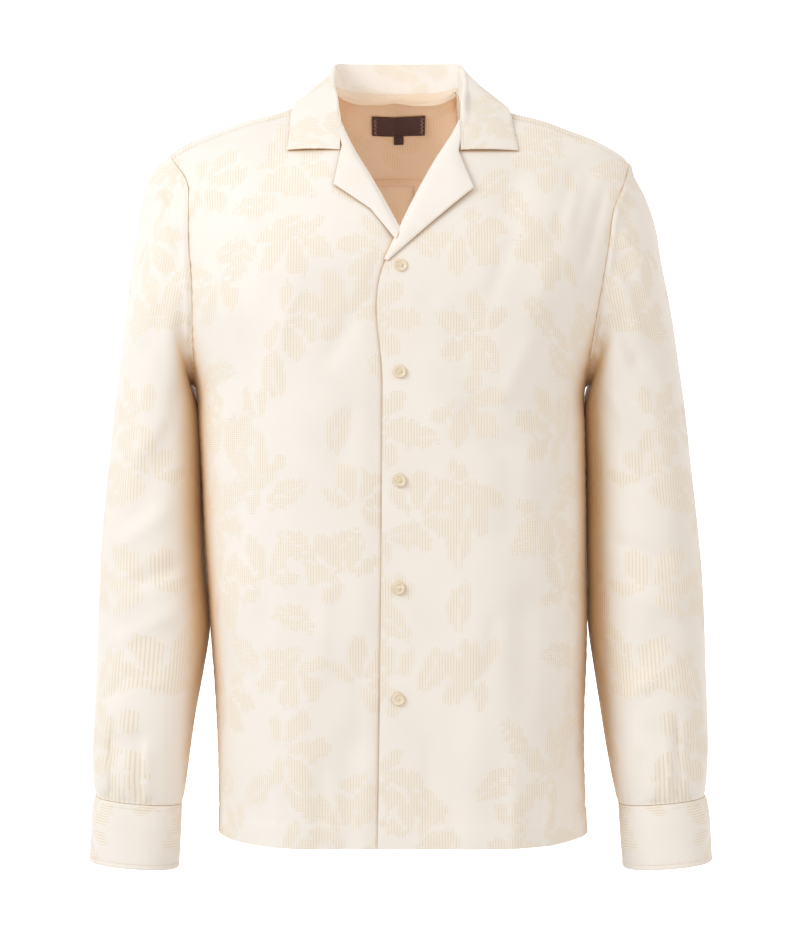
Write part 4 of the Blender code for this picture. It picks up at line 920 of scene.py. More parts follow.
def sleeve_surface(side, steps, with_folds=True):
    """The sleeve's outer surface: one ring a step, one column an armhole point."""
    loop, normals = armhole_loop(side)
    top_index = ARMHOLE_ROWS + int(np.argmin(np.abs(shoulder_runs(side))))
    angle = loop_angles(loop, top_index)
    start = ring(SLEEVE, side, np.zeros(1), angle)
    away = unit(np.cross(normals, np.gradient(np.vstack([loop[-1:], loop, loop[:1]]), axis=0)[1:-1]))
    outward = np.sign(np.sum(away * points(side, 0, 0.3), axis=1, keepdims=True))
    own = loop + away * outward * PIECE_GAP / 2 - start
    rings = []
    for step in steps:
        keep = float(smooth(SLEEVE, "keep", np.array(step), "step"))
        rings.append(ring(SLEEVE, side, np.array([step]), angle) + max(keep, 0) * own)
    grid = np.stack(rings)
    if with_folds:
        behind = (np.sin(angle) < 0)[None, :]
        heights = np.where(behind, fold_depth(3, grid[..., 0], grid[..., 2]),
                           fold_depth(2, grid[..., 0], grid[..., 2]))
        steps = np.asarray(steps)[:, None]
        at_sides = ease(np.abs(np.sin(angle)) * 1.6)[None, :]
        fade = ease(steps / 1.5) * ease((SLEEVE_END - steps) / 0.5) * at_sides
        grid[..., 1] += np.where(behind, 1, -1) * heights * fade
    return grid, normals, angle


def outward_normals(grid):
    """Normals of a tube of rings, pointing out of it."""
    down = np.gradient(grid, axis=0)
    across = np.roll(grid, -1, axis=1) - np.roll(grid, 1, axis=1)
    normal = unit(np.cross(across, down))
    middle = grid.mean(axis=1, keepdims=True)
    return -normal if np.sum(normal * (grid - middle)) < 0 else normal


def with_end(rows):
    """A tube's rows with the first column again at the end, a seam's gap short of it."""
    last = rows[:, :1] + (rows[:, -1:] - rows[:, :1]) * 0.03
    return np.concatenate([rows, last], axis=1)


def sleeve_uv(grid, side, front_col):
    """Cloth coordinates of a sleeve, whose columns run down it from the cap to the cuff."""
    out, into = SLEEVE["out_" + side_name(side)], SLEEVE["in_" + side_name(side)]
    height = (SLEEVE["out_z"] + SLEEVE["in_z"]) / 2
    half_width = np.where(SLEEVE["step"] < ARMPIT_STEP, (out - into)[ARMPIT_STEP] / 2, (out - into) / 2)
    half_depth = (SLEEVE["front"] + SLEEVE["back"]) / 2

    def at(z, heights, values):
        return np.interp(-z, -heights, values)

    x, y, z = side * grid[..., 0], grid[..., 1], grid[..., 2]
    wide, deep = at(z, height, half_width), at(z, height, half_depth)
    from_axis = x - at(z, SLEEVE["out_z"], out) + wide
    forward = at(z, height, SLEEVE["middle"]) - y
    turn = np.unwrap(np.arctan2(forward / deep, from_axis / wide), axis=1)
    full_turn = 2 * math.pi
    turn -= full_turn * np.round((turn[:, front_col:front_col + 1] - math.pi / 2) / full_turn)
    turns = np.linspace(-full_turn, 2 * full_turn, ARC_SAMPLES)
    ratio = half_width[ARMPIT_STEP] / half_depth[ARMPIT_STEP]
    arc = np.cumsum(np.hypot(ratio * np.sin(turns), np.cos(turns))) * (turns[1] - turns[0])
    around = np.interp(turn, turns, arc) - np.interp(math.pi / 2, turns, arc)
    along = cloth_uv(grid)[..., 1]
    return np.stack([around * deep, grid[:1, :, 2] - along], axis=-1)


def sleeve_panel(side, materials):
    """One sleeve, from the armhole to its cuff seam."""
    last_rows = np.linspace(SLEEVE_END - 0.5, SLEEVE_END, 9)
    steps = np.concatenate([np.linspace(0, 1, 14), np.linspace(1, last_rows[0], SLEEVE_ROWS)[1:],
                            last_rows[1:]])
    grid, seam_normals, angle = sleeve_surface(side, steps)
    normal = outward_normals(grid)
    normal[0] = seam_normals
    blend = np.linspace(1, 0, 10)[:, None, None]
    normal[:10] = unit(normal[:10] * (1 - blend) + seam_normals[None] * blend)
    from_cap = np.cumsum(np.linalg.norm(np.diff(grid, axis=0, prepend=grid[:1]), axis=2), axis=0)
    to_cuff = from_cap[-1:] - from_cap
    around = (angle * SLEEVE_RADIUS)[None, :]
    heights = drift(grid[..., 0] * 1.2 + grid[..., 1], grid[..., 2], 9.0 + side)
    heights = heights * ease(from_cap / 20) * ease(to_cuff / 14)
    roll = CAP_ROLL * np.exp(-((from_cap - 5) / 4) ** 2)
    heights += waves(around, from_cap - 5, 0.45, 15) * ease(from_cap / 3) + roll
    heights += (waves(around, to_cuff - 4, 0.5, 12) + seam_dip(to_cuff)) * ease(to_cuff / 2.5)
    grid = moved(grid, normal, heights)
    grid, normal = with_end(grid), with_end(normal)
    front_col = int(np.argmin(np.abs(angle - math.pi / 2)))
    uv = sleeve_uv(grid, side, front_col)
    return dressed("sleeve_" + side_name(side), grid, grid - normal * CLOTH, uv, materials)


def cuff_lift(angle):
    """How far the over end of the cuff stands out from the under end."""
    return CUFF_LIFT * ease((angle - 2.85 * math.pi) / (0.25 * math.pi))


def cuff_grid(side, steps, angles, lift=0.0):
    """Points of the cuff's band, moved straight out from its middle by lift."""
    grid = ring(CUFF, side, np.asarray(steps)[:, None], np.asarray(angles)[None, :])
    opposite = ring(CUFF, side, np.asarray(steps)[:, None], np.array([[0.0, math.pi]]))
    middle = opposite[:, :1] / 2 + opposite[:, 1:] / 2
    radial = unit((grid - middle) * np.array([1, 1, 0]))
    lifts = cuff_lift(np.asarray(angles))[None, :] + lift
    return grid + radial * lifts[..., None]


def cuff_panel(side, materials):
    """One barrel cuff: a band whose ends lap on the outer back side."""
    steps = np.concatenate([[0, 0.006, 0.014, 0.03, 0.055, 0.08, 0.11], np.linspace(0.15, 0.9, 22),
                            [0.93, 0.95, 0.97, 0.985, 0.994, 1.0]])
    angles = np.linspace(CUFF_START, CUFF_START + CUFF_SWEEP, CUFF_POINTS + 1)
    turn = angles[None, :]
    around = turn * CUFF_RADIUS
    from_edge = (1 - steps)[:, None] * CUFF_WIDTH
    from_seam = steps[:, None] * CUFF_WIDTH
    round_edge = -0.55 * (np.exp(-(from_edge / 0.6) ** 2) + np.exp(-(from_seam / 0.6) ** 2))
    sewn = -0.4 * np.exp(-((from_edge - CUFF_STITCH_IN) / 1.2) ** 2)
    body = drift(around, from_seam, 12 + side) * 0.5
    waved = waves(around, from_edge - CUFF_STITCH_IN, 0.16, 10) + waves(around, from_seam - 2, 0.25, 12)
    fade = ease(from_seam / 4)
    outer = cuff_grid(side, steps, angles, round_edge + sewn + (body + waved) * fade)
    inner = cuff_grid(side, steps, angles, -DOUBLE_CLOTH - 0.5 * round_edge)
    uv = np.stack(np.broadcast_arrays(-from_seam, around), axis=-1)
    return dressed("cuff_" + side_name(side), outer, inner, uv, materials)


def placket(side, materials):
    """A plain placket strip above the cuff's opening."""
    grid, _, angle = sleeve_surface(side, np.linspace(12.7, 15.85, 24), False)
    columns = []
    for share in np.linspace(0, 1, 7):
        wanted = (1.235 + 0.085 * share) * math.pi
        columns.append(np.stack([read_at(wanted, angle, row) for row in grid]))
    strip = np.stack(columns, axis=1)
    middle = grid.mean(axis=1, keepdims=True)
    outward = unit((strip - middle) * np.array([1, 1, 0]))
    name = "placket_" + side_name(side)
    return dressed(name, strip + outward * 2.1, strip + outward * 0.9, cloth_uv(strip), materials)


# Collar and lapels

def on_front(x, z, lift):
    """Points over the fronts, moved out by lift."""
    y = body_y(x, z, False)
    return points(x, y, z) + body_normal(x, z, False) * np.asarray(lift)[..., None]


def lapel_panel(side, materials):
    """A turned lapel: it wraps round its front's edge and lies on the front."""
    rows = LEFT_LAPEL if side > 0 else RIGHT_LAPEL
    to_tip = np.concatenate([np.linspace(0, 0.5, 15), np.linspace(0.5, 1, 15)[1:]])
    steps = np.concatenate([to_tip, np.linspace(1, 2, 37)[1:]])
    edge_x, edge_z = (straight(rows, name, steps, "step") for name in ("edge_x", "edge_z"))
    roll_x, roll_z = (smooth(rows, name, steps, "step") for name in ("roll_x", "roll_z"))
    roll = on_front(roll_x, roll_z, 0.0)
    normal = body_normal(roll_x, roll_z, False)
    out = unit(np.cross(normal, np.gradient(roll, axis=0)))
    out = out * np.sign(np.sum(out * points(side, 0, 0), axis=1, keepdims=True))
    share = np.concatenate([np.linspace(0, 0.94, 26)[1:], [0.965, 0.985, 1.0]])[None, :]
    x = roll_x[:, None] + (edge_x - roll_x)[:, None] * share
    z = roll_z[:, None] + (edge_z - roll_z)[:, None] * share
    width = np.hypot(edge_x - roll_x, edge_z - roll_z)[:, None]
    across = width * share
    crown = 2.2 * np.sin(share * math.pi) * np.clip(width / 40, 0, 1)
    rolled = LAPEL_ROLL * (np.exp(-across / 9) - np.exp(-across / 2.5)) * np.clip(width / 25, 0, 1)
    free = LAPEL_RISE * share ** 2 * np.clip(width / 40, 0, 1)
    lift = PIECE_GAP + 0.7 + crown + rolled + free + 0.3 * drift(x * 1.5, z * 1.5, 15.0)
    thick = 1.3 * np.sqrt(np.clip((width - across + 0.25) / 1.6, 0.05, 1))
    inner_flat = on_front(x, z, lift)
    outer_flat = on_front(x, z, lift + thick)
    turns = np.linspace(1.08, 0.06, 9) * math.pi
    centre = roll - normal * 0.15
    spokes = np.stack([math.cos(turn) * normal - math.sin(turn) * out for turn in turns], axis=1)
    inner = np.concatenate([centre[:, None] + 1.15 * spokes, inner_flat], axis=1)
    outer = np.concatenate([centre[:, None] + 2.35 * spokes, outer_flat], axis=1)
    return dressed("lapel_" + side_name(side), outer, inner, cloth_uv(outer, roll_x), materials)


def fall_clear(x, y):
    """How high the fall hangs over the yoke: highest over the hollows behind the neck's sides."""
    hollow = np.exp(-((np.abs(x - NECK_CENTRE) - 54) / 22) ** 2) * ease((y - 40) / 40)
    return COLLAR_CLEAR + 1.6 + 7.0 * hollow


def collar_section(place):
    """Seam, roll and outer edge of the folded collar's inner face at one place round the neck."""
    side = 1 if place >= 0 else -1
    step = abs(place)
    row = {name: float(smooth(COLLAR, name, np.array(step), "step")) for name in COLLAR}
    centring = NECK_CENTRE * (1 - ease(step / 9))
    roll = np.array([centring + side * row["roll_x"], row["roll_y"], row["roll_z"]])
    edge_x = centring + side * (row["edge_left"] if side > 0 else row["edge_right"])
    if step > FRONT_STEP:
        edge = on_front(np.array(edge_x), np.array(row["edge_z"]), COLLAR_CLEAR)
    else:
        edge_z = float(height_over(np.array(edge_x), np.array(row["edge_y"])))
        edge = np.array([edge_x, row["edge_y"], edge_z + fall_clear(edge_x, row["edge_y"])])
    if step >= GORGE_STEP:
        roll = on_front(np.array(roll[0]), np.array(row["roll_z"]), COLLAR_CLEAR)
        return roll, roll, edge, 0.0
    steps = np.linspace(NECK["step"][-1], 0, 60)
    outs = smooth(NECK, "out", steps, "step") - 0.8
    curve = over_shoulder(NECK_CENTRE + side * outs, smooth(NECK, "run", steps, "step"))
    bearing = np.arctan2(curve[:, 1], side * (curve[:, 0] - centring))
    toward = math.atan2(roll[1], side * (roll[0] - centring))
    seam = read_at(toward, bearing, curve)
    if step > FRONT_STEP:
        seam = on_front(np.array(side * 60.5), np.array(-13.0), COLLAR_CLEAR)
    return seam + np.array([0, 0, 1.0]), roll, edge, 1.0


def collar_profile(place):
    """Inner face of the folded collar (up the stand, round the roll, down the fall), and
    the direction in which each of its points has the wall's outer face."""
    seam, roll, edge, stand = collar_section(place)
    fall = np.linspace(0, 1, COLLAR_FALL_POINTS + 1)
    rise = np.linspace(0, 1, STAND_POINTS + 1)
    turns = np.linspace(math.pi, 0, ROLL_POINTS + 2)[1:-1]
    if not stand:
        lead = np.linspace(0, 0.10, STAND_POINTS + 1 + ROLL_POINTS)
        shares = np.concatenate([lead, 0.12 + 0.88 * fall])
        flat = seam + (edge - seam) * shares[:, None]
        lift = COLLAR_CLEAR + 1.6 * np.sin(shares * math.pi)
        return on_front(flat[:, 0], flat[:, 2], lift), body_normal(flat[:, 0], flat[:, 2], False)
    up = np.array([0, 0, 1.0])
    out = unit((edge - roll) * np.array([1, 1, 0]))
    heart = roll - up * (DOUBLE_CLOTH + ROLL_RADIUS)
    start = heart + out * ROLL_RADIUS
    stand_top = heart - out * ROLL_RADIUS
    line = seam + (stand_top - seam) * rise[:, None]
    line_facing = np.broadcast_to(-out, line.shape)
    bend_facing = np.cos(turns)[:, None] * out + np.sin(turns)[:, None] * up
    bend = heart + bend_facing * ROLL_RADIUS
    crown = 2.5 * np.sin(fall * math.pi)[:, None] * unit(out + up)
    falling = start + (edge - start) * fall[:, None] + crown
    if abs(place) > FRONT_STEP:
        lift = np.linspace(3.0, COLLAR_CLEAR, len(fall)) + 1.6 * np.sin(fall * math.pi)
        falling = on_front(falling[:, 0], falling[:, 2], lift)
        falling[0] = start
    else:
        floor = height_over(falling[:, 0], falling[:, 1]) + fall_clear(falling[:, 0], falling[:, 1])
        falling[:, 2] = np.maximum(falling[:, 2], floor)
    along = np.gradient(falling, axis=0)
    round_neck = np.cross(out, up)
    facing = unit(np.cross(round_neck, along))
    facing[0] = unit(out + facing[0])
    return np.vstack([line, bend, falling]), np.vstack([line_facing, bend_facing, facing])


def between(rows, at):
    """Rows read at fractional places, on a smooth curve through them."""
    low = np.clip(np.floor(at).astype(int), 0, len(rows) - 2)
    part = (at - low).reshape([-1] + [1] * (rows.ndim - 1))
    before, after = np.maximum(low - 1, 0), np.minimum(low + 2, len(rows) - 1)
    slope_low = (rows[low + 1] - rows[before]) / np.where(low > 0, 2, 1).reshape(part.shape)
    ends = np.where(low + 2 < len(rows), 2, 1).reshape(part.shape)
    slope_high = (rows[after] - rows[low]) / ends
    rest = 1 - part
    value = (1 + 2 * part) * rest ** 2 * rows[low] + part ** 2 * (3 - 2 * part) * rows[low + 1]
    return value + part * rest * (rest * slope_low - part * slope_high)


def collar_panel(materials):
    """The collar: one wall folded at its roll line, from notch to notch round the neck."""
    last = int(COLLAR["step"][-1])
    profiles = [collar_profile(place) for place in range(-last, last + 1)]
    at = np.linspace(0, 2 * last, 2 * last * COLLAR_ROWS_A_STEP + 1)
    grid = between(np.stack([line for line, _ in profiles]), at)
    facing = unit(between(np.stack([directions for _, directions in profiles]), at))
    count = grid.shape[1]
    wave = drift(at[:, None] * 14, np.arange(count)[None, :] * 2.5, 21.0) * 0.45
    on_fall = ease((np.arange(count) - count + COLLAR_FALL_POINTS) / 5)[None, :]
    grid = grid + facing * (wave * on_fall)[..., None]
    to_edge = np.linalg.norm(grid - grid[:, -1:], axis=2)
    to_first, to_last = (np.linalg.norm(grid - grid[[end]], axis=2) for end in (0, -1))
    near = np.minimum(to_edge, np.minimum(to_first, to_last) + 0.3)
    thick = DOUBLE_CLOTH * np.sqrt(np.clip((near + 0.25) / 1.8, 0.06, 1))
    uv = cloth_uv(grid)[..., ::-1]
    return dressed("collar", grid + facing * thick[..., None], grid, uv, materials)


# Small pieces

def own_axes(normal):
    """A normal of length one, and two directions square to it."""
    normal = unit(np.asarray(normal, dtype=float))
    first = unit(np.cross(normal, np.array([0, 0, 1.0])))
    return normal, first, np.cross(normal, first)


def lathe(name, centre, normal, profile, count, material):
    """A round solid turned about a normal from (radius, height) points; both ends close."""
    normal, first, second = own_axes(normal)
    verts = [centre + normal * profile[0][1]]
    for radius, height in profile[1:-1]:
        for k in range(count):
            turn = 2 * math.pi * k / count
            spoke = first * math.cos(turn) + second * math.sin(turn)
            verts.append(centre + spoke * radius + normal * height)
    verts.append(centre + normal * profile[-1][1])
    faces = []
    levels = len(profile) - 2
    for k in range(count):
        following = (k + 1) % count
        faces.append((0, 1 + following, 1 + k))
        for level in range(levels - 1):
            low = 1 + level * count
            faces.append((low + k, low + following, low + count + following, low + count + k))
        top = 1 + (levels - 1) * count
        faces.append((top + k, top + following, len(verts) - 1))
    return link(name, np.array(verts), faces, [0] * len(faces), [material])


def button(name, centre, normal, radius, finishes):
    """A four-hole button with a rolled rim, and the thread that sews it on."""
    pearl, hole_shade, thread = finishes
    centre = np.asarray(centre, dtype=float)
    turned = [(share * radius, height * BUTTON_THICK) for share, height in BUTTON_PROFILE]
    piece = lathe("shown_" + name, centre, normal, turned, 40, pearl)
    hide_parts(name)
    normal, first, second = own_axes(normal)
    dish = centre + normal * (BUTTON_PROFILE[-1][1] * BUTTON_THICK)
    reach = BUTTON_HOLE_OUT * radius
    holes = [dish + (first * a + second * b) * reach for a, b in ((1, 1), (-1, 1), (-1, -1), (1, -1))]
    for k, hole in enumerate(holes):
        lathe(f"{name}_hole_{k + 1}", hole, normal, HOLE_PROFILE, 14, hole_shade)
    for k in (0, 1):
        a, b = holes[k], holes[k + 2]
        path = [a - normal * 0.2, a * 0.8 + b * 0.2 + normal * 0.45,
                (a + b) / 2 + normal * (0.6 + 0.3 * k),
                a * 0.2 + b * 0.8 + normal * 0.45, b - normal * 0.2]
        strand(f"{name}_thread_{k + 1}", path, 0.42, thread)
    return piece


def strand(name, path, radius, material):
    """A short round thread through some points."""
    path = np.array(path)
    along = unit(np.gradient(path, axis=0))
    side = unit(np.cross(along, np.array([0.3, 0.8, 0.52])))
    other = np.cross(along, side)
    count = 8
    turns = np.arange(count) * 2 * math.pi / count
    spokes = np.cos(turns)[None, :, None] * side[:, None] + np.sin(turns)[None, :, None] * other[:, None]
    verts = (path[:, None] + radius * spokes).reshape(-1, 3)
    faces = []
    for row in range(len(path) - 1):
        for k in range(count):
            following = (k + 1) % count
            faces.append((row * count + k, row * count + following,
                          (row + 1) * count + following, (row + 1) * count + k))
    faces.append(tuple(range(count))[::-1])
    faces.append(tuple((len(path) - 1) * count + k for k in range(count)))
    return link(name, verts, faces, [0] * len(faces), [material])


def stitches(name, path, normals, material, length=STITCH_LENGTH, pitch=STITCH_PITCH,
             width=STITCH_WIDTH):
    """A sewn line: short rounded stitches that lie half sunk along a path on the cloth."""
    path, normals = np.asarray(path), np.asarray(normals)
    run = lengths(path)
    starts = np.arange(0.4, run[-1] - length, pitch)
    shape = ((0, 0.0, -0.30), (0.12, 0.75, 0.10), (0.5, 1.0, 0.22), (0.88, 0.75, 0.10),
             (1, 0.0, -0.30))
    verts, faces = [], []
    for start in starts:
        base = len(verts)
        for share, wide, high in shape:
            at = start + share * length
            point = read_at(at, run, path)
            normal = unit(read_at(at, run, normals))
            ahead = read_at(at + 0.5, run, path) - read_at(at - 0.5, run, path)
            across = unit(np.cross(ahead, normal)) * width / 2 * wide
            verts += [point - across - normal * 0.15, point + normal * high,
                      point + across - normal * 0.15]
        for k in range(len(shape) - 1):
            low = base + 3 * k
            faces += [(low, low + 1, low + 4, low + 3), (low + 1, low + 2, low + 5, low + 4),
                      (low + 2, low, low + 3, low + 5)]
    return link(name, verts, faces, [0] * len(faces), [material])


def hem_line(side, behind, x_from, x_to):
    """Points and normals of the hem's stitch line over one panel."""
    x = np.linspace(x_from, x_to, 160)
    z = np.full(x.shape, HEM_Z + HEM_DEPTH - 1.2)
    normal = body_normal(x, z, behind)
    y = body_y(x, z, behind)
    if side < 0 and not behind:
        y = y + under_lap(x, z)
    heights = body_relief(x, z, side, behind) + drift(x, z, 4.0 if behind else 1.0 + side)
    return points(x, y, z) + normal * heights[:, None], normal


def sewn_lines(thread):
    """Hem and cuff stitching."""
    z = HEM_Z + HEM_DEPTH
    centre = float(smooth(BODY, "centre", z, "z"))
    for behind, where in ((False, ""), (True, "back_")):
        for side in (1, -1):
            x_from = 0 if behind else LEFT_EDGE["x"][0] + side
            x_to = centre + side * (float(half_width(side, z)) - 0.6)
            line = hem_line(side, behind, x_from, x_to)
            stitches(f"hem_stitches_{where}{side_name(side)}", *line, thread)
    angles = np.linspace(CUFF_START + 0.25 * math.pi, CUFF_START + CUFF_SWEEP - 0.02, 260)
    for side in (1, -1):
        for label, inset in (("edge", CUFF_STITCH_IN), ("seam", CUFF_WIDTH - CUFF_STITCH_IN)):
            step = 1 - inset / CUFF_WIDTH
            path = cuff_grid(side, [step], angles)[0]
            outer = cuff_grid(side, [step], angles, 1.0)[0]
            stitches(f"cuff_{label}_stitches_{side_name(side)}", path, outer - path, thread)


def front_buttons(finishes):
    """The front buttons, on the left front's outer surface."""
    for number, (x, z, seat) in enumerate(BUTTONS, start=1):
        x, z = np.array(x), np.array(z)
        normal = body_normal(x, z, False)
        button(f"button_{number}", on_front(x, z, np.array(seat)), normal, BUTTON_RADIUS, finishes)


def buttonholes(thread):
    """Upright buttonholes that show above and below each front button."""
    for number, (x, z, _) in enumerate(BUTTONS, start=1):
        for tag, shift in (("left", 0.75), ("right", -0.75)):
            rows = z + np.linspace(-8.0, 8.0, 12)
            column = np.full(rows.shape, x + shift)
            path = on_front(column, rows, np.full(rows.shape, 0.15))
            stitches(f"buttonhole_{number}_{tag}", path, body_normal(column, rows, False), thread,
                     length=1.0, pitch=0.72, width=1.1)


def cuff_button(side, finishes):
    """The cuff's one button, on the lap at the outer back side."""
    angle = CUFF_START + CUFF_SWEEP - 0.085 * math.pi
    around = cuff_grid(side, (0.5,), (angle - 0.02, angle, angle + 0.02))[0]
    middle = cuff_grid(side, (0.5,), (math.pi, 2 * math.pi))[0].mean(axis=0)
    along = np.cross(around[2] - around[0], np.array([0, 0, 1.0]))
    normal = unit(along * np.sign(np.dot(along, around[1] - middle)))
    seat = around[1] + normal * 0.6
    return button("cuff_button_" + side_name(side), seat, normal, CUFF_BUTTON_RADIUS, finishes)


def yoke_inside(x, z, depth):
    """Points under the yoke's inner face at the centre back, moved inwards by depth."""
    run = run_behind(x, z)
    return over_shoulder(x, run) - over_shoulder_normal(x, run) * np.asarray(CLOTH + depth)[..., None]


def seam_tape(materials):
    """The felled seam inside the back, where the yoke is sewn to it."""
    x = np.linspace(-176, 178, 150)
    across = np.array([-3.4, -3.0, -2.0, -0.6, 0.8, 2.0, 2.8, 3.1])
    columns = x[None, :] + 0 * across[:, None]
    z = yoke_seam_z(columns) + across[:, None]
    pucker = 0.12 * np.sin(columns / 4.7 + 1.5 * np.sin(columns / 19))
    swell = 0.25 * np.exp(-(across / 2.2) ** 2)[:, None] + pucker
    inner = yoke_inside(columns, z, 0.7 + swell)
    outer = yoke_inside(columns, z, 0.05 + 0 * columns)
    return shell("cloth_yoke_seam", inner, outer, cloth_uv(inner), materials)


def neck_tape(materials):
    """The felled seam inside the back of the neck, where collar and yoke meet."""
    columns = []
    for place in np.linspace(-NECK_TAPE_STEPS, NECK_TAPE_STEPS, 65):
        seam, roll, edge, _ = collar_section(place)
        out = unit((edge - roll) * np.array([1, 1, 0]))
        top = roll - np.array([0, 0, DOUBLE_CLOTH + ROLL_RADIUS]) - out * ROLL_RADIUS
        share = np.clip((NECK_SEAM_Z - seam[2]) / (top[2] - seam[2]), 0.12, 0.8)
        narrow = 1 - 0.95 * ease((abs(place) - NECK_TAPE_FULL) / 1.6)
        heights = np.array([1.0, 0.97, 0.7, 0.35, 0.0]) * share * narrow
        stand = seam + (top - seam) * heights[:, None] - out * (DOUBLE_CLOTH + 0.5)
        down = np.array([1.5, 3.2, 5.5, 8.5, 12.0]) * narrow
        wide = np.full(down.shape, seam[0])
        under = yoke_inside(wide, seam[2] - down, np.array([2.7, 1.9, 1.1, 0.5, 0.12]))
        columns.append(np.vstack([stand, under]))
    face = np.stack(columns, axis=1)
    down = unit(np.gradient(face, axis=0))
    across = unit(np.gradient(face, axis=1))
    normal = unit(np.cross(down, across))
    normal = normal * np.sign(np.sum(normal * points(0, -1.0, 0.2), axis=-1, keepdims=True))
    return shell("cloth_neck_seam", face, face - normal * 0.35, cloth_uv(face), materials)


def shoulder_lines(thread):
    """The sewn line just in front of each shoulder."""
    for side in (1, -1):
        near = NECK_CENTRE + side * (NECK["out"][-1] + 46)
        far = armhole_over(side, np.array([SHOULDER_SEAM_RUN]))[0] - side * 2
        x = np.linspace(near, far, 120)
        run = np.full(x.shape, SHOULDER_SEAM_RUN + 1.6)
        normal = over_shoulder_normal(x, run)
        path = over_shoulder(x, run) + normal * 0.12
        stitches("shoulder_stitches_" + side_name(side), path, normal, thread)


def label_strip(name, x_range, z_range, material):
    """A woven strip that lies inside the yoke at the back of the neck."""
    across = np.linspace(*x_range, 57)
    up = np.linspace(*z_range, 17)
    x, z = np.meshgrid(across, up)
    inner_bow = 0.35 * np.sin(x / 7.0 + 0.6) * np.sin(z / 9.0)
    outer = yoke_inside(x, z, LABEL_CLEAR + LABEL_THICK + inner_bow)
    inner = yoke_inside(x, z, LABEL_CLEAR + inner_bow)
    uv = np.stack([x, z], axis=-1)
    return dressed(name, outer, inner, uv, [material, material], made_of="woven_")


def label_zigzags(thread):
    """Light zigzag sewing at both ends of the label."""
    for tag, x_at in (("left", LABEL_X[1] - 3.0), ("right", LABEL_X[0] + 3.0)):
        z = np.linspace(LABEL_Z[0] + 1.5, LABEL_Z[1] - 1.5, ZIGZAG_POINTS)
        x = x_at + ZIGZAG_HALF * (-1.0) ** np.arange(ZIGZAG_POINTS)
        path = yoke_inside(x, z, LABEL_CLEAR + LABEL_THICK + 0.25)
        for k in range(ZIGZAG_POINTS - 1):
            strand(f"label_zigzag_{tag}_{k + 1}", [path[k], path[k + 1]], 0.24, thread)


# Finishes

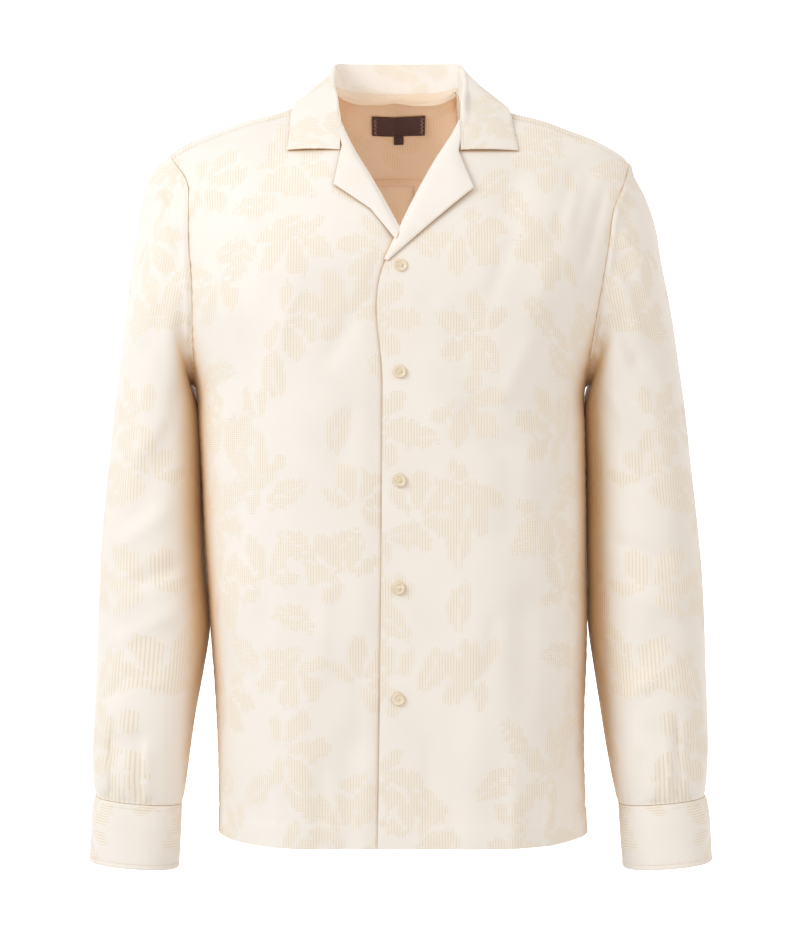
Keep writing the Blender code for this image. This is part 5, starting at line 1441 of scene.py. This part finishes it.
class Graph:
    """Short names for building a material's nodes."""

    def __init__(self, name):
        self.material = bpy.data.materials.new(name)
        self.material.use_nodes = True
        self.nodes = self.material.node_tree.nodes
        self.links = self.material.node_tree.links
        self.shader = self.nodes["Principled BSDF"]

    def plug(self, socket, value):
        """Link a socket, or set it to a constant."""
        if isinstance(value, bpy.types.NodeSocket):
            self.links.new(value, socket)
        else:
            socket.default_value = value

    def finish(self, inputs):
        """Set the surface's inputs, by name, and hand over the material."""
        for name, value in inputs.items():
            self.plug(self.shader.inputs[name], value)
        return self.material

    def cloth_place(self):
        """Place on the flat cloth, in millimetres."""
        node = self.nodes.new("ShaderNodeUVMap")
        node.uv_map = "cloth"
        return node.outputs[0]

    def object_place(self):
        return self.nodes.new("ShaderNodeTexCoord").outputs["Object"]

    def bump(self, strength, distance, height):
        """Surface directions that show a height without moving the surface."""
        node = self.nodes.new("ShaderNodeBump")
        node.inputs["Strength"].default_value = strength
        node.inputs["Distance"].default_value = distance
        self.plug(node.inputs["Height"], height)
        return node.outputs[0]

    def math(self, operation, first, second=0.0, third=0.0):
        node = self.nodes.new("ShaderNodeMath")
        node.operation = operation
        for socket, value in zip(node.inputs, (first, second, third)):
            self.plug(socket, value)
        return node.outputs[0]

    def vector(self, operation, first, second=(0, 0, 0), third=(0, 0, 0)):
        node = self.nodes.new("ShaderNodeVectorMath")
        node.operation = operation
        self.plug(node.inputs[0], first)
        self.plug(node.inputs[1], second)
        if operation == "MULTIPLY_ADD":
            self.plug(node.inputs[2], third)
        return node.outputs[1] if operation == "LENGTH" else node.outputs[0]

    def parts(self, vector):
        node = self.nodes.new("ShaderNodeSeparateXYZ")
        self.plug(node.inputs[0], vector)
        return node.outputs[0], node.outputs[1]

    def ramp(self, value, low, high):
        """0 below low, 1 above high, smooth between; low above high turns it round."""
        node = self.nodes.new("ShaderNodeMapRange")
        node.interpolation_type = "SMOOTHSTEP"
        for socket, given in zip(node.inputs, (value, low, high, 0.0, 1.0)):
            self.plug(socket, given)
        return node.outputs[0]

    def product(self, first, *others):
        for other in others:
            first = self.math("MULTIPLY", first, other)
        return first

    def mix(self, share, first, second, blend="MIX"):
        node = self.nodes.new("ShaderNodeMix")
        node.data_type = "RGBA"
        node.blend_type = blend
        self.plug(node.inputs["Factor"], share)
        self.plug(node.inputs[6], first)
        self.plug(node.inputs[7], second)
        return node.outputs[2]

    def noise(self, vector, scale, detail=2.0):
        node = self.nodes.new("ShaderNodeTexNoise")
        self.plug(node.inputs["Vector"], vector)
        node.inputs["Scale"].default_value = scale
        node.inputs["Detail"].default_value = detail
        return node.outputs[0]

    def warm_shade(self, colour, reach, tint):
        """A colour that turns to warm tan where folds and edges shut out the light."""
        openness = self.nodes.new("ShaderNodeAmbientOcclusion")
        openness.samples = SHADE_SAMPLES
        openness.inputs["Distance"].default_value = reach
        share = self.ramp(openness.outputs["AO"], 0.25, 0.95)
        return self.mix(share, self.mix(1.0, colour, tint, "MULTIPLY"), colour)

    def column_steps(self, vector):
        """Places whose columns start and stop a little above or below each other."""
        column, _ = self.parts(vector)
        chance = self.nodes.new("ShaderNodeTexWhiteNoise")
        chance.noise_dimensions = "1D"
        self.plug(chance.inputs["W"], column)
        shift = self.nodes.new("ShaderNodeCombineXYZ")
        up = self.math("MULTIPLY_ADD", chance.outputs[0], COLUMN_STEP, -COLUMN_STEP / 2)
        self.plug(shift.inputs[1], up)
        return self.vector("ADD", vector, shift.outputs[0])

    def cells(self, vector, pitch, randomness, shift):
        """Place relative to the nearest of some scattered points, turned its own way, and its tint."""
        place = self.vector("MULTIPLY_ADD", vector, (1 / pitch, 1 / pitch, 0), (shift, shift * 0.7, 0))
        node = self.nodes.new("ShaderNodeTexVoronoi")
        node.voronoi_dimensions = "2D"
        self.plug(node.inputs["Vector"], place)
        node.inputs["Scale"].default_value = 1.0
        node.inputs["Randomness"].default_value = randomness
        away = self.vector("SUBTRACT", place, node.outputs["Position"])
        tint = self.nodes.new("ShaderNodeSeparateColor")
        self.plug(tint.inputs[0], node.outputs["Color"])
        turned = self.nodes.new("ShaderNodeVectorRotate")
        turned.rotation_type = "Z_AXIS"
        self.plug(turned.inputs["Vector"], away)
        self.plug(turned.inputs["Angle"], self.product(tint.outputs[0], 2 * math.pi))
        return self.vector("MULTIPLY", turned.outputs[0], (pitch, pitch, 0)), tint.outputs[1]


def srgb(*channels):
    """A colour from 0 to 255 channels, in linear light."""
    linear = []
    for channel in channels:
        share = channel / 255
        linear.append(share / 12.92 if share <= 0.04045 else ((share + 0.055) / 1.055) ** 2.4)
    return (*linear, 1.0)


def darker(colour, share):
    return tuple(channel * share for channel in colour[:3]) + (1.0,)


def fan_leaf(graph, snapped):
    """A fan of broad leaflets round each scattered point."""
    place, tint = graph.cells(snapped, FAN_REPEAT, 0.6, 0.37)
    x, y = graph.parts(place)
    radius = graph.vector("LENGTH", place)
    angle = graph.math("ARCTAN2", y, x)
    waves_round = graph.math("COSINE", graph.product(angle, FAN_LEAFLETS))
    gap = graph.ramp(waves_round, -0.80, -0.62)
    facing = graph.math("COSINE", angle)
    length = graph.math("MULTIPLY_ADD", facing, 0.30 * FAN_RADIUS, 0.70 * FAN_RADIUS)
    tip = graph.math("MULTIPLY_ADD", waves_round, 0.20 * FAN_RADIUS, length)
    inside = graph.ramp(graph.math("SUBTRACT", tip, radius), -0.2, 0.2)
    open_side = graph.ramp(graph.math("ABSOLUTE", angle), 2.35, 2.3)
    hub = graph.ramp(radius, 0.16 * FAN_RADIUS, 0.2 * FAN_RADIUS)
    return graph.product(gap, inside, open_side, hub, graph.ramp(tint, 0.10, 0.11))


def single_leaf(graph, snapped):
    """A pointed leaf with a bare midrib near each scattered point."""
    place, tint = graph.cells(snapped, LEAF_REPEAT, 0.85, 5.21)
    x, y = graph.parts(place)
    share = graph.math("DIVIDE", x, LEAF_LENGTH)
    taper = graph.math("SUBTRACT", 1.0, graph.product(share, share))
    bent = graph.math("MULTIPLY_ADD", taper, 3.2, y)
    half = graph.product(taper, LEAF_WIDTH)
    inside = graph.ramp(graph.math("SUBTRACT", half, graph.math("ABSOLUTE", bent)), -0.2, 0.2)
    rib = graph.ramp(graph.math("ABSOLUTE", bent), 0.9, 1.4)
    return graph.product(inside, rib, graph.ramp(tint, 0.42, 0.43))


def cloth_material(name, ground, loops, gap_shade_and_weave_tone, strength, shade=(SHADE_REACH, SHADE_TINT)):
    """Cream satin with tone-on-tone leaves, drawn by columns of small loops; the hollows between the loops
    hold painted shade.
    """
    graph = Graph(name)
    cloth = graph.cloth_place()
    lattice = graph.vector("SNAP", cloth, (COLUMN_PITCH, LOOP_PITCH, 1.0))
    snapped = graph.vector("ADD", lattice, (COLUMN_PITCH / 2, LOOP_PITCH / 2, 0.0))
    stepped = graph.column_steps(snapped)
    fans = fan_leaf(graph, stepped)
    leaves = single_leaf(graph, stepped)
    motif = graph.math("MAXIMUM", fans, leaves)
    away = graph.vector("DIVIDE", graph.vector("SUBTRACT", cloth, snapped),
                        (COLUMN_PITCH / 2, LOOP_PITCH / 2, 1.0))
    across, along = graph.parts(away)
    column = graph.ramp(graph.math("ABSOLUTE", across), 0.95, 0.35)
    loop = graph.ramp(graph.math("ABSOLUTE", along), 1.0, 0.45)
    raised = graph.product(column, graph.math("MULTIPLY_ADD", loop, 0.4, 0.6))
    # Painted shade: in the leaves, the hollows between the loop columns are darkened towards the gap shade
    # colour.
    beside = graph.ramp(graph.math("ABSOLUTE", across), 0.45, 0.95)
    hole = graph.product(beside, graph.ramp(graph.math("ABSOLUTE", along), 0.85, 0.25))
    weave = graph.noise(graph.vector("MULTIPLY", cloth, (1.0, 0.35, 1.0)), 1.9, 3.0)
    broad = graph.ramp(graph.noise(cloth, 0.013), 0.35, 0.7)
    base = graph.mix(broad, ground, darker(ground, 0.965))
    weave_toned = graph.mix(graph.product(weave, 0.16), base, gap_shade_and_weave_tone)
    figured = graph.mix(graph.product(motif, 0.75), weave_toned, loops)
    with_hole_shade = graph.mix(graph.product(motif, hole, strength), figured, gap_shade_and_weave_tone)
    height = graph.math("MULTIPLY_ADD", graph.product(motif, raised), 0.26, graph.product(weave, 0.07))
    return graph.finish({
        "Base Color": graph.warm_shade(with_hole_shade, *shade), "Normal": graph.bump(0.55, 0.001, height),
        "Roughness": graph.math("MULTIPLY_ADD", motif, 0.12, 0.60), "Specular IOR Level": 0.28,
        "Sheen Weight": 0.12, "Sheen Roughness": 0.45, "Sheen Tint": (1.0, 0.95, 0.88, 1.0)})


def pearl_material():
    """Pearly button shell with faint cloudy bands."""
    graph = Graph("pearl_button")
    place = graph.object_place()
    cloud = graph.noise(place, 240.0, 3.0)
    bands = graph.noise(graph.vector("MULTIPLY", place, (1.0, 1.0, 6.0)), 90.0)
    tone = graph.mix(graph.ramp(cloud, 0.3, 0.7), srgb(240, 225, 198), srgb(226, 206, 172))
    return graph.finish({
        "Base Color": graph.mix(graph.ramp(bands, 0.45, 0.75), tone, srgb(247, 237, 218)),
        "Roughness": graph.math("MULTIPLY_ADD", cloud, 0.12, 0.22), "Coat Weight": 0.35,
        "Coat Roughness": 0.15})


def label_material():
    """Dark plum woven tape with a fine rib."""
    graph = Graph("plum_tape")
    place = graph.cloth_place()
    across, along = graph.parts(place)
    rib = graph.math("SINE", graph.product(along, 2 * math.pi / 0.55))
    warp = graph.math("SINE", graph.product(across, 2 * math.pi / 0.45))
    woven = graph.math("MULTIPLY_ADD", graph.product(rib, warp), 0.5, 0.5)
    grain = graph.product(graph.noise(place, 2.5), 0.4)
    tone = graph.mix(woven, srgb(58, 26, 30), srgb(74, 38, 42))
    return graph.finish({
        "Base Color": graph.mix(grain, tone, srgb(44, 18, 22)),
        "Normal": graph.bump(0.5, 0.0003, woven), "Roughness": 0.62, "Sheen Weight": 0.2})


def grained_material(name, scale, first, second, inputs):
    """A surface whose colour wanders between two tones."""
    graph = Graph(name)
    grain = graph.noise(graph.object_place(), scale)
    return graph.finish({"Base Color": graph.mix(grain, first, second), **inputs})


def thread_material(name, colour):
    """Twisted sewing thread."""
    finish = {"Roughness": 0.55, "Sheen Weight": 0.15}
    return grained_material(name, 900.0, darker(colour, 0.8), colour, finish)


# Studio

def area_light(name, place, target, size, power, colour):
    """A soft square light that faces a target."""
    lamp = bpy.data.lights.new(name, "AREA")
    lamp.shape = "SQUARE"
    lamp.size = size
    lamp.energy = power
    lamp.color = colour
    holder = placed(name, lamp)
    holder.location = place
    x, y, z = np.array(target, dtype=float) - np.array(place, dtype=float)
    turn = math.atan2(y, x) - math.pi / 2
    holder.rotation_euler = (math.atan2(math.hypot(x, y), -z), 0, turn)
    return holder


def backdrop():
    """A pale floor that sweeps up into a wall behind."""
    bend, reach, wall = 1.6, 2.6, 5.0
    profile = [(-6.0, 0.0), (reach - bend, 0.0)]
    for k in range(1, 17):
        turn = math.pi / 2 * k / 16
        profile.append((reach - bend + bend * math.sin(turn), bend - bend * math.cos(turn)))
    profile.append((reach, wall))
    verts = [(x, y, FLOOR_HEIGHT + z) for x in (-7.0, 7.0) for y, z in profile]
    count = len(profile)
    faces = [(k, k + 1, count + k + 1, count + k) for k in range(count - 1)]
    mesh = bpy.data.meshes.new("floor")
    mesh.from_pydata(verts, [], faces)
    mesh.shade_smooth()
    floor = placed("floor", mesh)
    mesh.materials.append(grained_material(
        "pale_floor", 3.0, (0.93, 0.93, 0.93, 1), (0.95, 0.95, 0.95, 1),
        {"Roughness": 0.9, "Emission Color": (1.0, 1.0, 1.0, 1.0), "Emission Strength": FLOOR_GLOW}))
    floor.visible_diffuse = False


def studio():
    """Camera, soft lights and surroundings."""
    lens = bpy.data.cameras.new("camera")
    lens.sensor_fit = "VERTICAL"
    lens.angle = 2 * math.atan(HALF_VIEW_HEIGHT / CAMERA_DISTANCE)
    camera = placed("camera", lens)
    camera.location = (0, -CAMERA_DISTANCE, CAMERA_HEIGHT)
    camera.rotation_euler = (math.pi / 2, 0, 0)
    bpy.context.scene.camera = camera
    bpy.context.scene.view_settings.view_transform = "Standard"
    area_light("key", (-2.4, -1.8, 1.2), (0, 0, -0.35), 1.3, KEY_POWER, (0.93, 0.975, 1.0))
    area_light("fill", (2.4, -2.4, 0.2), (0, 0, -0.4), 2.2, FILL_POWER, (1.0, 0.93, 0.86))
    area_light("top", (0.0, -0.4, 2.4), (0, 0, -0.2), 2.0, TOP_POWER, (1.0, 0.98, 0.95))
    glow = (1.0, 0.90, 0.80)
    inside = area_light("inside", (0.075, -0.03, -0.16), (0.03, 0.10, 0), 0.08, INSIDE_POWER, glow)
    inside.visible_camera = False
    world = bpy.data.worlds.new("studio")
    bpy.context.scene.world = world
    world.use_nodes = True
    background = world.node_tree.nodes["Background"]
    background.inputs[0].default_value = (1.0, 0.97, 0.93, 1.0)
    background.inputs[1].default_value = WORLD_POWER
    backdrop()


def main():
    """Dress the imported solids."""
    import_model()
    # Each cloth's fourth colour is the painted shade of the hollows between its loops; the weave's tone
    # drifts towards it too.
    cloth = cloth_material("leaf_jacquard", srgb(250, 244, 238), srgb(249, 240, 227),
                           srgb(216, 190, 154), 0.75)
    # The inside faces: a warmer copy of the cloth, its colours painted shade of the shirt's hollow inside.
    shaded_inside = cloth_material("jacquard_inside_painted_shade", srgb(250, 238, 221), srgb(249, 233, 212),
                            srgb(216, 182, 142), 0.5, (INSIDE_SHADE_REACH, INSIDE_SHADE_TINT))
    plain = cloth_material("plain_facing", srgb(250, 244, 238), srgb(250, 242, 232),
                           srgb(234, 216, 190), 0.3)
    pair = [cloth, shaded_inside]
    facing = [plain, plain]
    thread = thread_material("cream_thread", srgb(250, 240, 224))
    light_thread = thread_material("light_thread", srgb(196, 176, 170))
    hole_shade = grained_material("hole_shade", 500.0, srgb(186, 158, 118), srgb(202, 176, 138),
                                  {"Roughness": 0.8})
    finishes = pearl_material(), hole_shade, thread
    for side in (1, -1):
        front_panel(side, pair)
        sleeve_panel(side, pair)
        cuff_panel(side, pair)
        placket(side, pair)
        lapel_panel(side, facing)
        cuff_button(side, finishes)
    back_panel(pair)
    yoke_panel(pair)
    collar_panel([cloth, cloth])
    front_buttons(finishes)
    buttonholes(thread)
    sewn_lines(thread)
    seam_tape([shaded_inside, shaded_inside])
    neck_tape([shaded_inside, shaded_inside])
    shoulder_lines(thread)
    plum = label_material()
    label_strip("label", LABEL_X, LABEL_Z, plum)
    label_strip("size_tab", TAB_X, TAB_Z, plum)
    label_zigzags(light_thread)
    studio()


main()
